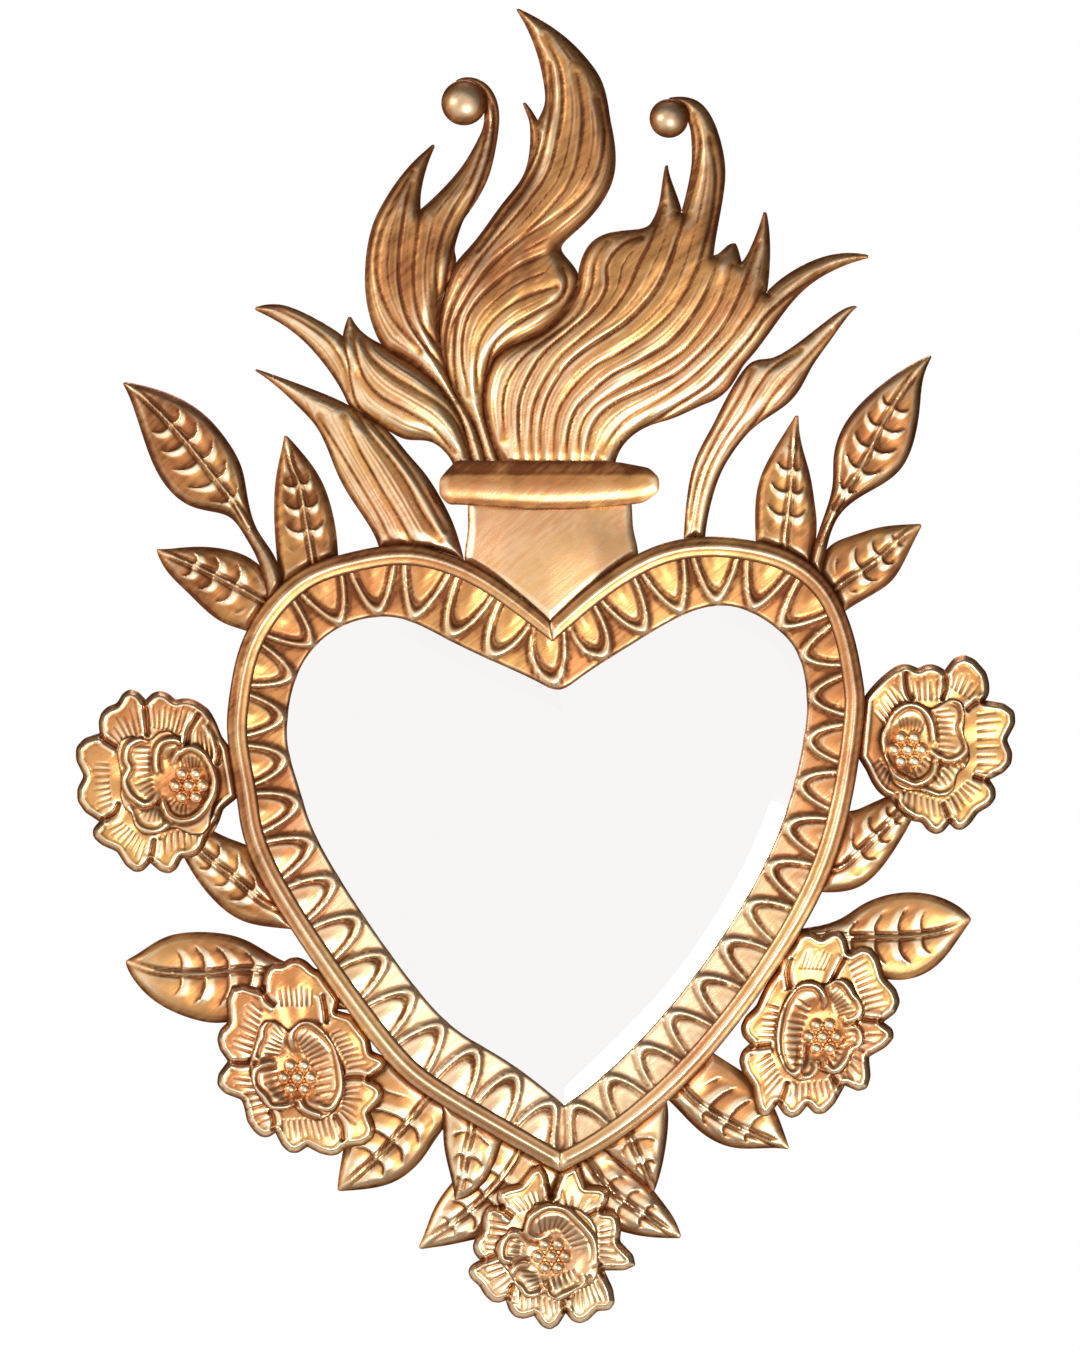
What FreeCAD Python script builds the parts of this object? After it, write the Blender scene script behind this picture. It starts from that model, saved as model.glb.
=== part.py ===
import FreeCAD, Part
import math
import os

# Heart-shaped wall mirror with an embossed copper frame, a crest of flames, flowers and leaves.
# Millimetres. X runs to the viewer's right, Z up, and the front faces -Y. The wall is Y = 0 and
# the origin is the hanging point on it. "Lift" is the distance in front of the wall.

Vector = FreeCAD.Vector

# Sheet metal and clearances
SHEET = 1.0             # thickness of the embossed copper
GAP = 0.3               # left between neighbouring pieces
SEAM = 0.9              # left between neighbouring flame sheets
TIP = 1.2               # width of a blunted tip of a flame or leaf
FACETS = 4              # flats across the rounded back of an embossed strand

# Mirror stack behind the frame
PLATE_T = 1.0           # back plate
BOARD_T = 3.0           # backing board
GLASS_T = 4.0           # mirror glass
GLASS_EDGE = 1.5        # glass left at the foot of the bevel
BEVEL = 20.0            # width of the bevel
OVERLAP = 8.0           # border over glass
BOARD_PLAY = 1.0        # board to rim wall

# Rim, a channel of sheet round the outside of the heart
RIM_WIDTH = 12.0
RIM_SHOULDER = 14.5     # lift of both edges of the bead
RIM_CREST = 4.5         # bead above its edges
BEAD_FACETS = 6

# Border with its ring of embossed tongues
LIP_LIFT = 8.0          # front of the border at the window
BORDER_LIFT = 10.0      # front of the border under the rim
BORDER_PLAY = 0.8       # border to rim wall
TONGUES_A_SIDE = 19     # one more stands in the cleft
RIDGE_CREST = 2.6       # arch of a tongue above the border
PAD_CREST = 3.0         # and the pad inside it
GROOVE = 0.3            # bottom of the groove between them
TONGUE_ARCHES = (       # nested arches: half width of the pitch, top of the way to the window, height
    (0.47, 1.0, 0.0), (0.39, 0.91, RIDGE_CREST), (0.31, 0.81, GROOVE), (0.25, 0.74, 0.75 * PAD_CREST),
    (0.0, 0.58, PAD_CREST))
TONGUE_SPRING = 0.2     # share of its height at which an arch begins to close
TONGUE_POINT = 2.4      # how late its sides bend to the point
TONGUE_ROWS = 7         # points along a side of an arch

# Leaves and flowers
BACK_LEAF = 2.0         # lift of the edge of a leaf lying at the back
FRONT_LEAF = 7.6        # and of one lying over it
MIDRIB = 2.4            # midrib above the edge
LEAF_CREST = 2.0
LEAF_SWELL = 0.2        # rise of half a leaf, of its width
FLOWER_DISC = 14.6      # radius of the flat middle of a flower
OUTER_LIFTS = (13.2, 13.8, 15.2, 13.6)   # grooves between petals, from the disc to the outline
OUTER_CRESTS = (0.8, 1.4)                # crown of a petal half way out, and at the outline
INNER_LIFTS = (14.2, 17.6, 20.4, 19.4)
INNER_CRESTS = (0.8, 1.2)
BEAD_R = 4.4            # stamens
BEAD_RING = 9.6         # circle they stand on
BEADS = 6               # on that circle, round one more
BEAD_PROFILE = ((0, 0), (0.8, 0), (1, 0.45), (0.92, 0.95), (0.55, 1.4), (0, 1.55))   # of BEAD_R

# Crest
FLAME_EDGE = 6.0        # lift of the outer edges of the flames
FLAME_VALLEY = 10.2     # and of the grooves between strands
FLAME_SLOPE = 0.45      # how fast the grooves climb from the edges
FLAME_CREST = 4.5       # highest strand above its grooves
FLAME_SWELL = 0.28      # rise of a strand, of its width
NECK_BULGE = 10.0
NECK_TOP_BULGE = 4.5    # behind the collar
COLLAR_LIFTS = (15.5, 16.0, 18.4, 18.0, 12.5)   # mouth, then the roll from its top to its foot
COLLAR_CRESTS = (-1.0, 0.6, 1.0, 1.0)           # rise of the sheet between them
BOSS_LIFT = 7.0         # edge of the ball inside each scroll
BOSS_RISE = 8.0
BOSS_LAP = 1.0          # scroll drawn this far inside the ball's edge, then trimmed clear of it

# Hanger
BRACE_W = 40.0
BRACE_T = 2.5
BRACE_LIFT = 6.0        # back of the brace
BRACE_TOP = 115.0
BRACE_FOOT = -70.0      # before it is trimmed to the rim
WIRE_R = 1.5            # ring wire
RING_R = 11.0           # to the middle of the wire
PIVOT_Z = -4.0
KNUCKLE_R = 2.9
STRAP_W = 14.0
STRAP_T = 1.2
STRAP_DROP = 20.0
RIVET_R = 1.5
RIVET_HEAD = 2.8
RIVET_HEAD_T = 1.2
RIVET_PLAY = 0.1

# Half outlines of the heart from the cleft to the foot: outer edge of the rim, edge of the window
RIGHT_HALF = [
    ((0, -40), (6, -85)), ((19, -23), (29, -68)), ((41, -6), (53, -53)),
    ((67, 8), (78, -38)), ((96, 14), (101, -29)), ((127, 12), (122, -30)),
    ((156, 3), (141, -40)), ((179, -17), (156, -54)), ((193, -48), (163, -72)),
    ((199, -77), (165, -91)), ((199, -107), (163, -113)), ((183, -187), (145, -178)),
    ((142, -264), (100, -256)), ((83, -337), (50, -315)), ((6, -390), (9, -349))]
LEFT_HALF = [
    ((0, -40), (6, -85)), ((-19, -24), (-19, -72)), ((-45, -6), (-46, -60)),
    ((-70, 5), (-70, -48)), ((-96, 9), (-93, -37)), ((-128, 4), (-114, -36)),
    ((-160, -8), (-134, -42)), ((-184, -31), (-152, -56)), ((-198, -58), (-163, -75)),
    ((-204, -87), (-168, -97)), ((-205, -115), (-168, -122)), ((-199, -154), (-160, -148)),
    ((-182, -207), (-142, -192)), ((-120, -299), (-81, -280)), ((-77, -342), (-42, -312)),
    ((6, -390), (9, -349))]


def hug(middle, radius, degrees):
    """Points along the edge of a ball, where its scroll is wrapped round it."""
    reach = radius - BOSS_LAP
    return [(middle[0] + reach * math.cos(math.radians(angle)),
             middle[1] + reach * math.sin(math.radians(angle))) for angle in degrees]


# Flames. Each row runs across a sheet from edge to edge; the rows climb from root to tips.
SEAM_LEFT = [(-40, 58), (-49, 87), (-56, 99), (-63, 112), (-68, 128), (-71, 144), (-70, 160), (-66, 176),
             (-60, 190)]
SEAM_RIGHT = [(-30, 58), (-40, 86), (-42, 108), (-36, 128), (-22, 138), (-1, 148), (15, 168), (18, 183)]
SEAM_WISP = [(-49, 58), (-56, 86), (-63, 100), (-74, 114), (-87, 125), (-99, 132), (-108, 138)]

CENTRE_LEFT = SEAM_LEFT + [(-47, 205), (-31, 227), (-18, 244), (-13, 262), (-13, 280)]
CENTRE_RIGHT = SEAM_RIGHT + [(9, 195), (9, 203), (24, 217), (38, 237), (42, 257), (39, 279)]
CENTRE_NOTCH = 0.1      # share of the width cut off by the spur
CENTRE_STRANDS = (1, 3)
CENTRE_TIP_LEFT = [(-3, 291), (-3, 301), (-6, 317), (-12, 335), (-21, 352)]
CENTRE_TIP_RIGHT = [(37, 289), (33, 305), (24, 319), (8, 335), (-20, 352)]
CENTRE_SPUR_LEFT = [(-15, 287), (-17, 292)]
CENTRE_SPUR_RIGHT = [(-12, 287), (-16, 292)]

LEFT_LEFT = SEAM_WISP + [(-115, 155), (-118, 172), (-118, 188), (-116, 204), (-111, 220)]
LEFT_RIGHT = SEAM_LEFT + [(-61, 197), (-59, 207), (-55, 218)]
LEFT_NOTCH = [(-44, 58), (-60, 100), (-78, 127), (-89, 152), (-91, 182), (-83, 223)]
LEFT_STRANDS = (2, 2)
SPIKE_LEFT = [(-100, 238), (-90, 251), (-82, 259), (-75, 265)]
SPIKE_RIGHT = [(-83, 234), (-81, 245), (-78, 255), (-74, 265)]
BOSS_LEFT = (-55, 292)
BOSS_LEFT_R = 14.0
SCROLL_LEFT_IN = [(-70, 235), (-56, 251), (-47, 266),
                  (-42, 278)] + hug(BOSS_LEFT, BOSS_LEFT_R, (-5, 40, 80, 110))
SCROLL_LEFT_OUT = [(-46, 232), (-39, 247), (-35, 264), (-33, 279), (-34, 292), (-40, 303), (-50, 308),
                   (-60, 308)]

# The right flame has five tongues; its guides run to the notches between them.
RIGHT_GUIDES = [
    SEAM_RIGHT + [(24, 200), (38, 209), (55, 211), (65, 216)],
    [(-1, 58), (-3, 109), (30, 154), (61, 191), (84, 221)],
    [(13, 58), (22, 101), (52, 138), (81, 168), (104, 194)],
    [(22, 58), (40, 99), (70, 132), (99, 164), (122, 190)],
    [(32, 58), (54, 94), (87, 122), (116, 147), (138, 170)],
    [(41, 58), (49, 76), (64, 86), (80, 91), (95, 98), (105, 102), (114, 109), (120, 118), (125, 126)]]
RIGHT_STRANDS = (3, 2, 1, 2, 2)
BOSS_RIGHT = (76, 282)
BOSS_RIGHT_R = 12.0
RIGHT_TONGUES = [
    ([(70, 227), (72, 239), (74, 252)], [(81, 232), (77, 243), (75, 252)]),
    ([(88, 236), (91, 253), (91, 266), (90, 276)] + hug(BOSS_RIGHT, BOSS_RIGHT_R, (15, 52, 90)),
     [(107, 214), (111, 238), (111, 256), (107, 273), (101, 286), (92, 294), (77, 297)]),
    ([(109, 196), (113, 200), (118, 202)], [(121, 194), (120, 198), (118, 202)]),
    ([(127, 196), (133, 210), (137, 222)], [(140, 189), (140, 207), (138, 222)]),
    ([(149, 180), (164, 189), (182, 195), (203, 195)], [(141, 147), (159, 170), (180, 185), (203, 193)])]

WISP_GUIDES = [
    [(-61, 58), (-67, 69), (-78, 76), (-92, 77), (-104, 83), (-116, 90), (-129, 99)],
    [(-56, 58), (-63, 81), (-73, 93), (-86, 106), (-100, 118), (-115, 131), (-132, 142)],
    SEAM_WISP]
WISP_STRANDS = (2, 1)
WISP_TONGUES = [
    ([(-140, 120), (-158, 141), (-176, 154), (-188, 160)], [(-147, 152), (-166, 161), (-179, 163),
      (-188, 161)]),
    ([(-131, 148), (-129, 155)], [(-120, 145), (-127, 155)])]

STEM_LEFT_L = [(-110, -8), (-111, 13), (-123, 33), (-134, 51), (-141, 68), (-148, 83), (-156, 93),
               (-165, 102),
               (-176, 112), (-188, 121)]
STEM_LEFT_R = [(-52, -13), (-60, 18), (-68, 36), (-79, 54), (-91, 68), (-104, 83), (-116, 90), (-129, 99),
               (-157, 111), (-188, 122)]
STEM_RIGHT_L = [(85, -1), (86, 22), (89, 49), (95, 69), (104, 86), (112, 102), (127, 125), (142, 129),
                (163, 142), (181, 156), (195, 163)]
STEM_RIGHT_R = [(100, -1), (100, 22), (107, 50), (117, 69), (132, 86), (152, 100), (163, 115), (169, 126),
                (179, 140), (189, 154), (196, 161)]
STEM_STRANDS = 3

# Neck standing in the cleft, and the collar rolled round its mouth
NECK_LEFT = [(-51, 42), (-52, 31), (-52, 18), (-54, 3), (-55, -26), (-55, -58)]
NECK_RIGHT = [(51, 42), (52, 31), (53, 18), (56, 3), (56, -26), (56, -58)]
COLLAR_LINES = (
    [(-59, 63), (-48, 63), (-10, 64), (29, 63), (42, 62)],
    [(-65, 57), (-48, 52), (-10, 51), (32, 52), (63, 58)],
    [(-70, 51), (-48, 49), (-10, 47), (32, 48), (69, 52)],
    [(-70, 41), (-48, 40), (-10, 38), (32, 39), (69, 44)],
    [(-64, 35), (-48, 35), (-10, 33), (32, 34), (60, 37)])

# Leaves: one edge, midrib and other edge from the base under the rim; the midrib ends at the tip
LEAVES = {
    "left_tall": (FRONT_LEAF,
        [(-179, -29), (-186, -1), (-195, 16), (-207, 29), (-230, 35), (-250, 55), (-262, 86)],
        [(-175, -27), (-182, 1), (-191, 19), (-201, 36), (-215, 54), (-230, 73), (-250, 95), (-272, 113)],
        [(-170, -24), (-177, 3), (-188, 20), (-194, 41), (-198, 60), (-209, 79), (-230, 99)]),
    "left_upright": (BACK_LEAF,
        [(-170, -32), (-174, -1), (-176, 29), (-175, 51), (-172, 67)],
        [(-148, -22), (-152, 3), (-156, 26), (-160, 48), (-164, 58), (-169, 79)],
        [(-133, -13), (-136, 3), (-138, 22), (-145, 47), (-157, 66)]),
    "left_side": (BACK_LEAF,
        [(-184, -54), (-194, -45), (-212, -38), (-230, -22), (-243, -9)],
        [(-172, -35), (-184, -26), (-204, -15), (-222, -6), (-238, 1), (-251, 6)],
        [(-175, -26), (-187, -3), (-206, 6), (-225, 8), (-240, 7)]),
    "right_tall": (FRONT_LEAF,
        [(162, -20), (169, 8), (175, 26), (181, 47), (182, 67), (191, 90), (214, 113)],
        [(165, -22), (172, 6), (179, 24), (189, 44), (200, 61), (211, 84), (225, 108), (243, 130)],
        [(169, -23), (176, 6), (184, 28), (202, 43), (225, 60), (235, 90), (237, 110)]),
    "right_upright": (BACK_LEAF,
        [(132, -3), (132, 15), (132, 36), (136, 55), (146, 74)],
        [(148, -12), (150, 11), (153, 35), (155, 55), (156, 73), (158, 92)],
        [(164, -20), (170, 17), (169, 35), (166, 54), (161, 72)]),
    "right_side": (BACK_LEAF,
        [(173, -23), (177, 6), (193, 15), (209, 20), (224, 22)],
        [(172, -32), (184, -17), (197, -8), (210, 1), (223, 13), (237, 22)],
        [(179, -42), (192, -30), (209, -20), (220, -11), (228, 3)]),
    "left_middle": (BACK_LEAF,
        [(-150, -243), (-164, -236), (-192, -232), (-213, -219), (-230, -197)],
        [(-166, -224), (-184, -218), (-198, -206), (-215, -193), (-230, -180), (-243, -168)],
        [(-178, -193), (-194, -183), (-207, -178), (-219, -172), (-230, -168)]),
    "right_middle": (BACK_LEAF,
        [(180, -152), (192, -161), (204, -157), (215, -152), (226, -147)],
        [(166, -193), (184, -197), (197, -187), (212, -173), (226, -159), (238, -150)],
        [(159, -211), (173, -212), (197, -209), (216, -191), (230, -168)]),
    "left_low": (BACK_LEAF,
        [(-118, -289), (-160, -288), (-198, -294), (-221, -295), (-246, -286), (-263, -272)],
        [(-129, -275), (-166, -268), (-190, -262), (-216, -264), (-243, -264), (-259, -261),
         (-271, -257)],
        [(-140, -262), (-171, -257), (-192, -245), (-214, -239), (-240, -240), (-257, -248)]),
    "right_low": (BACK_LEAF,
        [(149, -237), (184, -231), (200, -221), (220, -214), (241, -214), (258, -220)],
        [(142, -246), (179, -242), (200, -241), (221, -241), (243, -239), (258, -235), (269, -230)],
        [(134, -257), (182, -261), (205, -266), (227, -268), (246, -260), (259, -245)]),
    "bottom_left_big": (BACK_LEAF,
        [(-101, -312), (-114, -325), (-127, -346), (-131, -371), (-134, -390)],
        [(-69, -335), (-84, -351), (-101, -372), (-116, -387), (-127, -397), (-135, -403)],
        [(-55, -352), (-72, -368), (-83, -384), (-99, -397), (-118, -402)]),
    "bottom_left_small": (FRONT_LEAF,
        [(-70, -336), (-68, -358), (-67, -376), (-63, -394)],
        [(-50, -349), (-50, -365), (-53, -378), (-56, -396), (-60, -409)],
        [(-24, -364), (-31, -372), (-35, -384), (-43, -399)]),
    "bottom_left_tip": (BACK_LEAF,
        [(-40, -357), (-47, -379), (-61, -397), (-72, -412), (-78, -426)],
        [(-16, -371), (-29, -394), (-46, -412), (-61, -424), (-73, -432), (-83, -440)],
        [(6, -381), (9, -403), (-18, -425), (-47, -434), (-66, -438)]),
    "bottom_right_big": (BACK_LEAF,
        [(67, -341), (79, -348), (96, -365), (115, -375), (134, -376)],
        [(80, -328), (90, -343), (106, -355), (123, -364), (139, -371), (152, -376)],
        [(96, -307), (106, -317), (123, -328), (138, -342), (147, -360)]),
    "bottom_right_small": (FRONT_LEAF,
        [(26, -365), (36, -378), (45, -386), (56, -395)],
        [(46, -351), (51, -368), (57, -381), (62, -392), (66, -403)],
        [(70, -335), (75, -352), (74, -371), (71, -388)]),
    "bottom_right_tip": (BACK_LEAF,
        [(13, -376), (17, -401), (30, -421), (49, -430), (67, -433)],
        [(19, -372), (31, -394), (46, -409), (61, -419), (72, -427), (83, -433)],
        [(36, -362), (45, -383), (59, -396), (70, -409), (78, -420)])}

# Flowers: the eye, then the petal outlines as notch, crown, notch, crown ... round each layer
FLOWERS = {
    "left": ((-230, -144),
        [(-210, -113), (-216, -99), (-222, -93), (-230, -89), (-239, -90), (-249, -84), (-258, -90),
         (-268, -83),
         (-276, -92), (-286, -98), (-287, -111), (-302, -120), (-297, -138), (-301, -154), (-287, -167),
         (-291, -177),
         (-276, -186), (-265, -199), (-255, -193), (-243, -200), (-235, -190), (-225, -188),
         (-219, -178), (-213, -170),
         (-209, -159), (-195, -140)],
        [(-233, -120), (-243, -109), (-255, -116), (-273, -115), (-273, -138), (-272, -156),
         (-266, -161), (-259, -175),
         (-239, -170), (-221, -175), (-216, -159), (-211, -141), (-218, -126), (-224, -118)]),
    "right": ((228, -121),
        [(202, -86), (211, -76), (220, -69), (227, -67), (235, -70), (243, -67), (252, -71), (264, -61),
         (278, -72), (280, -83), (277, -90), (296, -97), (291, -115), (294, -130), (280, -140),
         (284, -152),
         (273, -161), (263, -172), (255, -168), (246, -175), (237, -167), (227, -164), (217, -152),
         (209, -147),
         (202, -134), (193, -112)],
        [(215, -104), (226, -91), (243, -96), (261, -90), (263, -112), (267, -127), (259, -136),
         (253, -150),
         (236, -147), (221, -144), (216, -131), (211, -116)]),
    "low_left": ((-161, -330),
        [(-184, -275), (-180, -260), (-171, -258), (-161, -254), (-151, -261), (-136, -272),
         (-136, -288), (-120, -296),
         (-114, -314), (-104, -321), (-115, -331), (-106, -340), (-115, -353), (-113, -369),
         (-131, -375), (-140, -380),
         (-155, -374), (-166, -378), (-175, -365), (-184, -368), (-193, -358), (-195, -348),
         (-197, -344), (-212, -335),
         (-205, -320), (-212, -306), (-205, -295), (-203, -273)],
        [(-166, -301), (-152, -294), (-138, -310), (-131, -333), (-137, -351), (-150, -357),
         (-163, -348), (-178, -350),
         (-188, -337), (-191, -323), (-188, -312), (-181, -294)]),
    "low_right": ((174, -304),
        [(155, -246), (162, -237), (173, -241), (185, -237), (191, -250), (205, -248), (213, -266),
         (223, -282),
         (212, -295), (219, -305), (203, -317), (202, -337), (188, -335), (175, -353), (164, -348),
         (154, -356),
         (145, -347), (135, -355), (129, -336), (121, -320), (128, -309), (122, -298), (132, -285),
         (138, -272),
         (145, -262), (147, -253)],
        [(175, -272), (188, -267), (195, -276), (200, -288), (195, -296), (200, -305), (192, -314),
         (185, -327),
         (172, -325), (161, -332), (150, -325), (144, -304), (150, -282), (162, -269)]),
    "bottom": ((1, -444),
        [(1, -406), (13, -384), (23, -399), (37, -402), (34, -415), (44, -419), (44, -435), (54, -450),
         (34, -453), (41, -474), (30, -479), (19, -487), (10, -480), (0, -491), (-10, -482), (-22, -483),
         (-28, -472), (-37, -473), (-45, -463), (-52, -454), (-44, -447), (-49, -438), (-43, -428),
         (-41, -414),
         (-31, -413), (-33, -403), (-19, -398), (-6, -386)],
        [(-17, -428), (-9, -411), (8, -412), (26, -420), (30, -440), (29, -458), (16, -465), (6, -472),
         (-3, -466), (-15, -470), (-24, -456), (-35, -440), (-27, -430), (-24, -426)])}


def at(point, lift):
    """Place of an outline point at a distance in front of the wall."""
    return Vector(point[0], -lift, point[1])


def between(a, b, share):
    return (a[0] + (b[0] - a[0]) * share, a[1] + (b[1] - a[1]) * share)


def beyond(a, b, distance):
    """Point a, moved away from b by a distance."""
    length = math.dist(a, b)
    return (a[0] + (a[0] - b[0]) * distance / length, a[1] + (a[1] - b[1]) * distance / length)


def spline(points, run=None):
    """Curve through points, evenly paced; run is the direction it sets out in."""
    curve = Part.BSplineCurve()
    last = len(points) - 1
    places = {"Points": points, "Parameters": [i / last for i in range(last + 1)]}
    if run:
        start = run * ((points[1] - points[0]).Length * last / run.Length)
        end = (points[-1] - points[-2]) * last
        curve.interpolate(InitialTangent=start, FinalTangent=end, Scale=False, **places)
    else:
        curve.interpolate(**places)
    return curve


def surface(rows, along=None):
    """Face over rows of poles, following the knots of a curve or straight from row to row."""
    patch = Part.BSplineSurface()
    if along:
        u_mults, u_knots, u_degree = along.getMultiplicities(), along.getKnots(), along.Degree
    else:
        u_mults, u_knots, u_degree = [2, 2], [0.0, 1.0], 1
    order = len(rows[0])
    patch.buildFromPolesMultsKnots(rows, u_mults, [order, order], u_knots, [0.0, 1.0], False, False,
                                   u_degree, order - 1)
    return patch.toShape()


def ribs(first, last, rises, facets=FACETS):
    """Poles of the lines across a strand, from groove to groove over its rounded back."""
    if rises is None:
        return [first.getPoles(), last.getPoles()]
    lines = []
    for i in range(facets + 1):
        share = i / facets
        swell_share = 4 * share * (1 - share)
        lines.append([a + (b - a) * share + rise * swell_share
                      for a, b, rise in zip(first.getPoles(), last.getPoles(), rises)])
    return lines


def strips(first, last, rises, facets=FACETS):
    """Faces of one strand."""
    lines = ribs(first, last, rises, facets)
    return [surface(list(zip(a, b)), first) for a, b in zip(lines, lines[1:])]


def solid(faces):
    """One closed solid sewn from its faces."""
    skin = Part.Compound(faces)
    skin.sewShape()
    body = Part.Solid(skin.Shells[0])
    if body.Volume < 0:
        body.reverse()
    return body


def largest(shape):
    return max(shape.Solids, key=lambda part: part.Volume)


def behind(curve):
    back = curve.copy()
    back.translate(Vector(0, SHEET, 0))
    return back


def swell(first, last, ratio, highest):
    """Rise of a strand at each pole: a share of its width, up to a limit."""
    rises = []
    for a, b in zip(first.getPoles(), last.getPoles()):
        width = math.hypot(a.x - b.x, a.z - b.z)
        rises.append(Vector(0, -min(ratio * width, highest), 0))
    return rises


def end_wall(curves, rises, pole):
    """Faces closing one end of a sheet through its thickness."""
    depth = Vector(0, SHEET, 0)
    faces = []
    for first, last, rise in zip(curves, curves[1:], rises):
        corners = [line[pole] for line in ribs(first, last, rise)]
        faces += [surface([(a, b), (a + depth, b + depth)]) for a, b in zip(corners, corners[1:])]
    return faces


def span(curves, rises, start=True, end=True, sides=(True, True)):
    """Faces of a stretch of embossed sheet: its curves are the grooves between its strands."""
    faces = []
    for first, last, rise in zip(curves, curves[1:], rises):
        faces += strips(first, last, rise)
        faces += strips(behind(first), behind(last), rise)
    for curve, wanted in zip((curves[0], curves[-1]), sides):
        if wanted:
            faces += strips(curve, behind(curve), None)
    if start:
        faces += end_wall(curves, rises, 0)
    if end:
        faces += end_wall(curves, rises, -1)
    return faces


# Heart outlines

def half_curve(half, place, lift):
    """Curve along one half of the heart; place gives the point at each pair of outline points."""
    return spline([at(place(outer, window), lift) for outer, window in half])


def from_rim(inward):
    return lambda outer, window: beyond(outer, window, -inward)


def from_window(outward):
    return lambda outer, window: beyond(window, outer, -outward)


def heart_face(place, lift):
    edges = [half_curve(half, place, lift).toShape() for half in (LEFT_HALF, RIGHT_HALF)]
    return Part.Face(Part.Wire(edges))


def heart_prism(place, back, front):
    return heart_face(place, back).extrude(Vector(0, back - front, 0))


def rim(half):
    """Channel of sheet: outer wall, rounded bead, open at the back."""
    foot = PLATE_T
    under = RIM_SHOULDER - SHEET
    section = [
        half_curve(half, from_rim(0), foot), half_curve(half, from_rim(0), RIM_SHOULDER),
        half_curve(half, from_rim(RIM_WIDTH), RIM_SHOULDER), half_curve(half, from_rim(RIM_WIDTH), under),
        half_curve(half, from_rim(SHEET), under), half_curve(half, from_rim(SHEET), foot)]
    bead = [Vector(0, -RIM_CREST, 0)] * len(section[0].getPoles())
    faces = []
    corners = [[], []]
    for i, rises in enumerate((None, bead, None, bead, None, None)):
        first, last = section[i], section[(i + 1) % len(section)]
        faces += strips(first, last, rises, BEAD_FACETS)
        for line in ribs(first, last, rises, BEAD_FACETS)[:-1]:
            corners[0].append(line[0])
            corners[1].append(line[-1])
    for cap in corners:
        faces.append(Part.Face(Part.makePolygon(cap + cap[:1])))
    return solid(faces)


def glass():
    back = PLATE_T + BOARD_T
    outer, inner = from_window(OVERLAP), from_window(OVERLAP - BEVEL)
    faces = [heart_face(outer, back), heart_face(inner, back + GLASS_T)]
    for half in (LEFT_HALF, RIGHT_HALF):
        rear = half_curve(half, outer, back)
        edge = half_curve(half, outer, back + GLASS_EDGE)
        face = half_curve(half, inner, back + GLASS_T)
        faces += strips(rear, edge, None) + strips(edge, face, None)
    return solid(faces)


# Border

class Band:
    """Places on the border by distance along it from the cleft: right positive, left negative."""

    STEPS = 300
    SPACED_AT = 0.55    # share of the band, from rim to window, along which distances are taken

    def __init__(self):
        self.sides = []
        for half in (LEFT_HALF, RIGHT_HALF):
            rim_edge = half_curve(half, from_rim(SHEET + BORDER_PLAY), 0)
            window_edge = half_curve(half, from_window(0), 0)
            reach = [0.0]
            for i in range(self.STEPS):
                a = self.mix(rim_edge, window_edge, i / self.STEPS, self.SPACED_AT)
                b = self.mix(rim_edge, window_edge, (i + 1) / self.STEPS, self.SPACED_AT)
                reach.append(reach[-1] + math.dist(a, b))
            self.sides.append((rim_edge, window_edge, reach))

    def mix(self, rim_edge, window_edge, u, share):
        a, b = rim_edge.value(u), window_edge.value(u)
        return between((a.x, a.z), (b.x, b.z), share)

    def lengths(self):
        return [reach[-1] for rim_edge, window_edge, reach in self.sides]

    def point(self, distance, share):
        rim_edge, window_edge, reach = self.sides[1 if distance > 0 else 0]
        target = min(abs(distance), reach[-1])
        step = 0
        while step < self.STEPS - 1 and reach[step + 1] < target:
            step += 1
        u = (step + (target - reach[step]) / (reach[step + 1] - reach[step])) / self.STEPS
        return self.mix(rim_edge, window_edge, u, share)


def border_lift(share):
    """Lift of the border between its tongues, by the share of the way from the rim to the window."""
    return BORDER_LIFT + (LIP_LIFT - BORDER_LIFT) * share


def arch_side(band, middle, half_width, top, height):
    """One side of an arch across the band, from the rim to its point over the middle of the tongue."""
    points = []
    for i in range(TONGUE_ROWS):
        row = i / (TONGUE_ROWS - 1)
        closing = max(0.0, row - TONGUE_SPRING) / (1 - TONGUE_SPRING)
        place = band.point(middle + half_width * (1 - closing ** TONGUE_POINT), top * row)
        points.append(at(place, border_lift(top * row) + height))
    return spline(points)


def plain_side(band, distance):
    """Line across the band half way between two tongues."""
    rows = [i / (TONGUE_ROWS - 1) for i in range(TONGUE_ROWS)]
    return spline([at(band.point(distance, row), border_lift(row)) for row in rows])


def border_cell(band, middle, left_pitch, right_pitch):
    """One tongue: a pointed arch round a pad, its point at the window."""
    faces = []
    for pitch in (-left_pitch, right_pitch):
        curves = [plain_side(band, middle + pitch / 2)]
        for half_width, top, height in TONGUE_ARCHES:
            curves.append(arch_side(band, middle, half_width * pitch, top, height))
        flat = [None] * (len(curves) - 1)
        faces += span(curves, flat, end=False, sides=(False, False))
        faces += end_wall(curves[:2], flat[:1], -1)
    return faces


def border():
    band = Band()
    pitches = [length / (TONGUES_A_SIDE + 0.5) for length in band.lengths()]
    faces = border_cell(band, 0.0, pitches[0], pitches[1])
    for sign, pitch in zip((-1, 1), pitches):
        for i in range(1, TONGUES_A_SIDE + 1):
            faces += border_cell(band, sign * i * pitch, pitch, pitch)
    return solid(faces)


# Leaves and flowers

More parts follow.
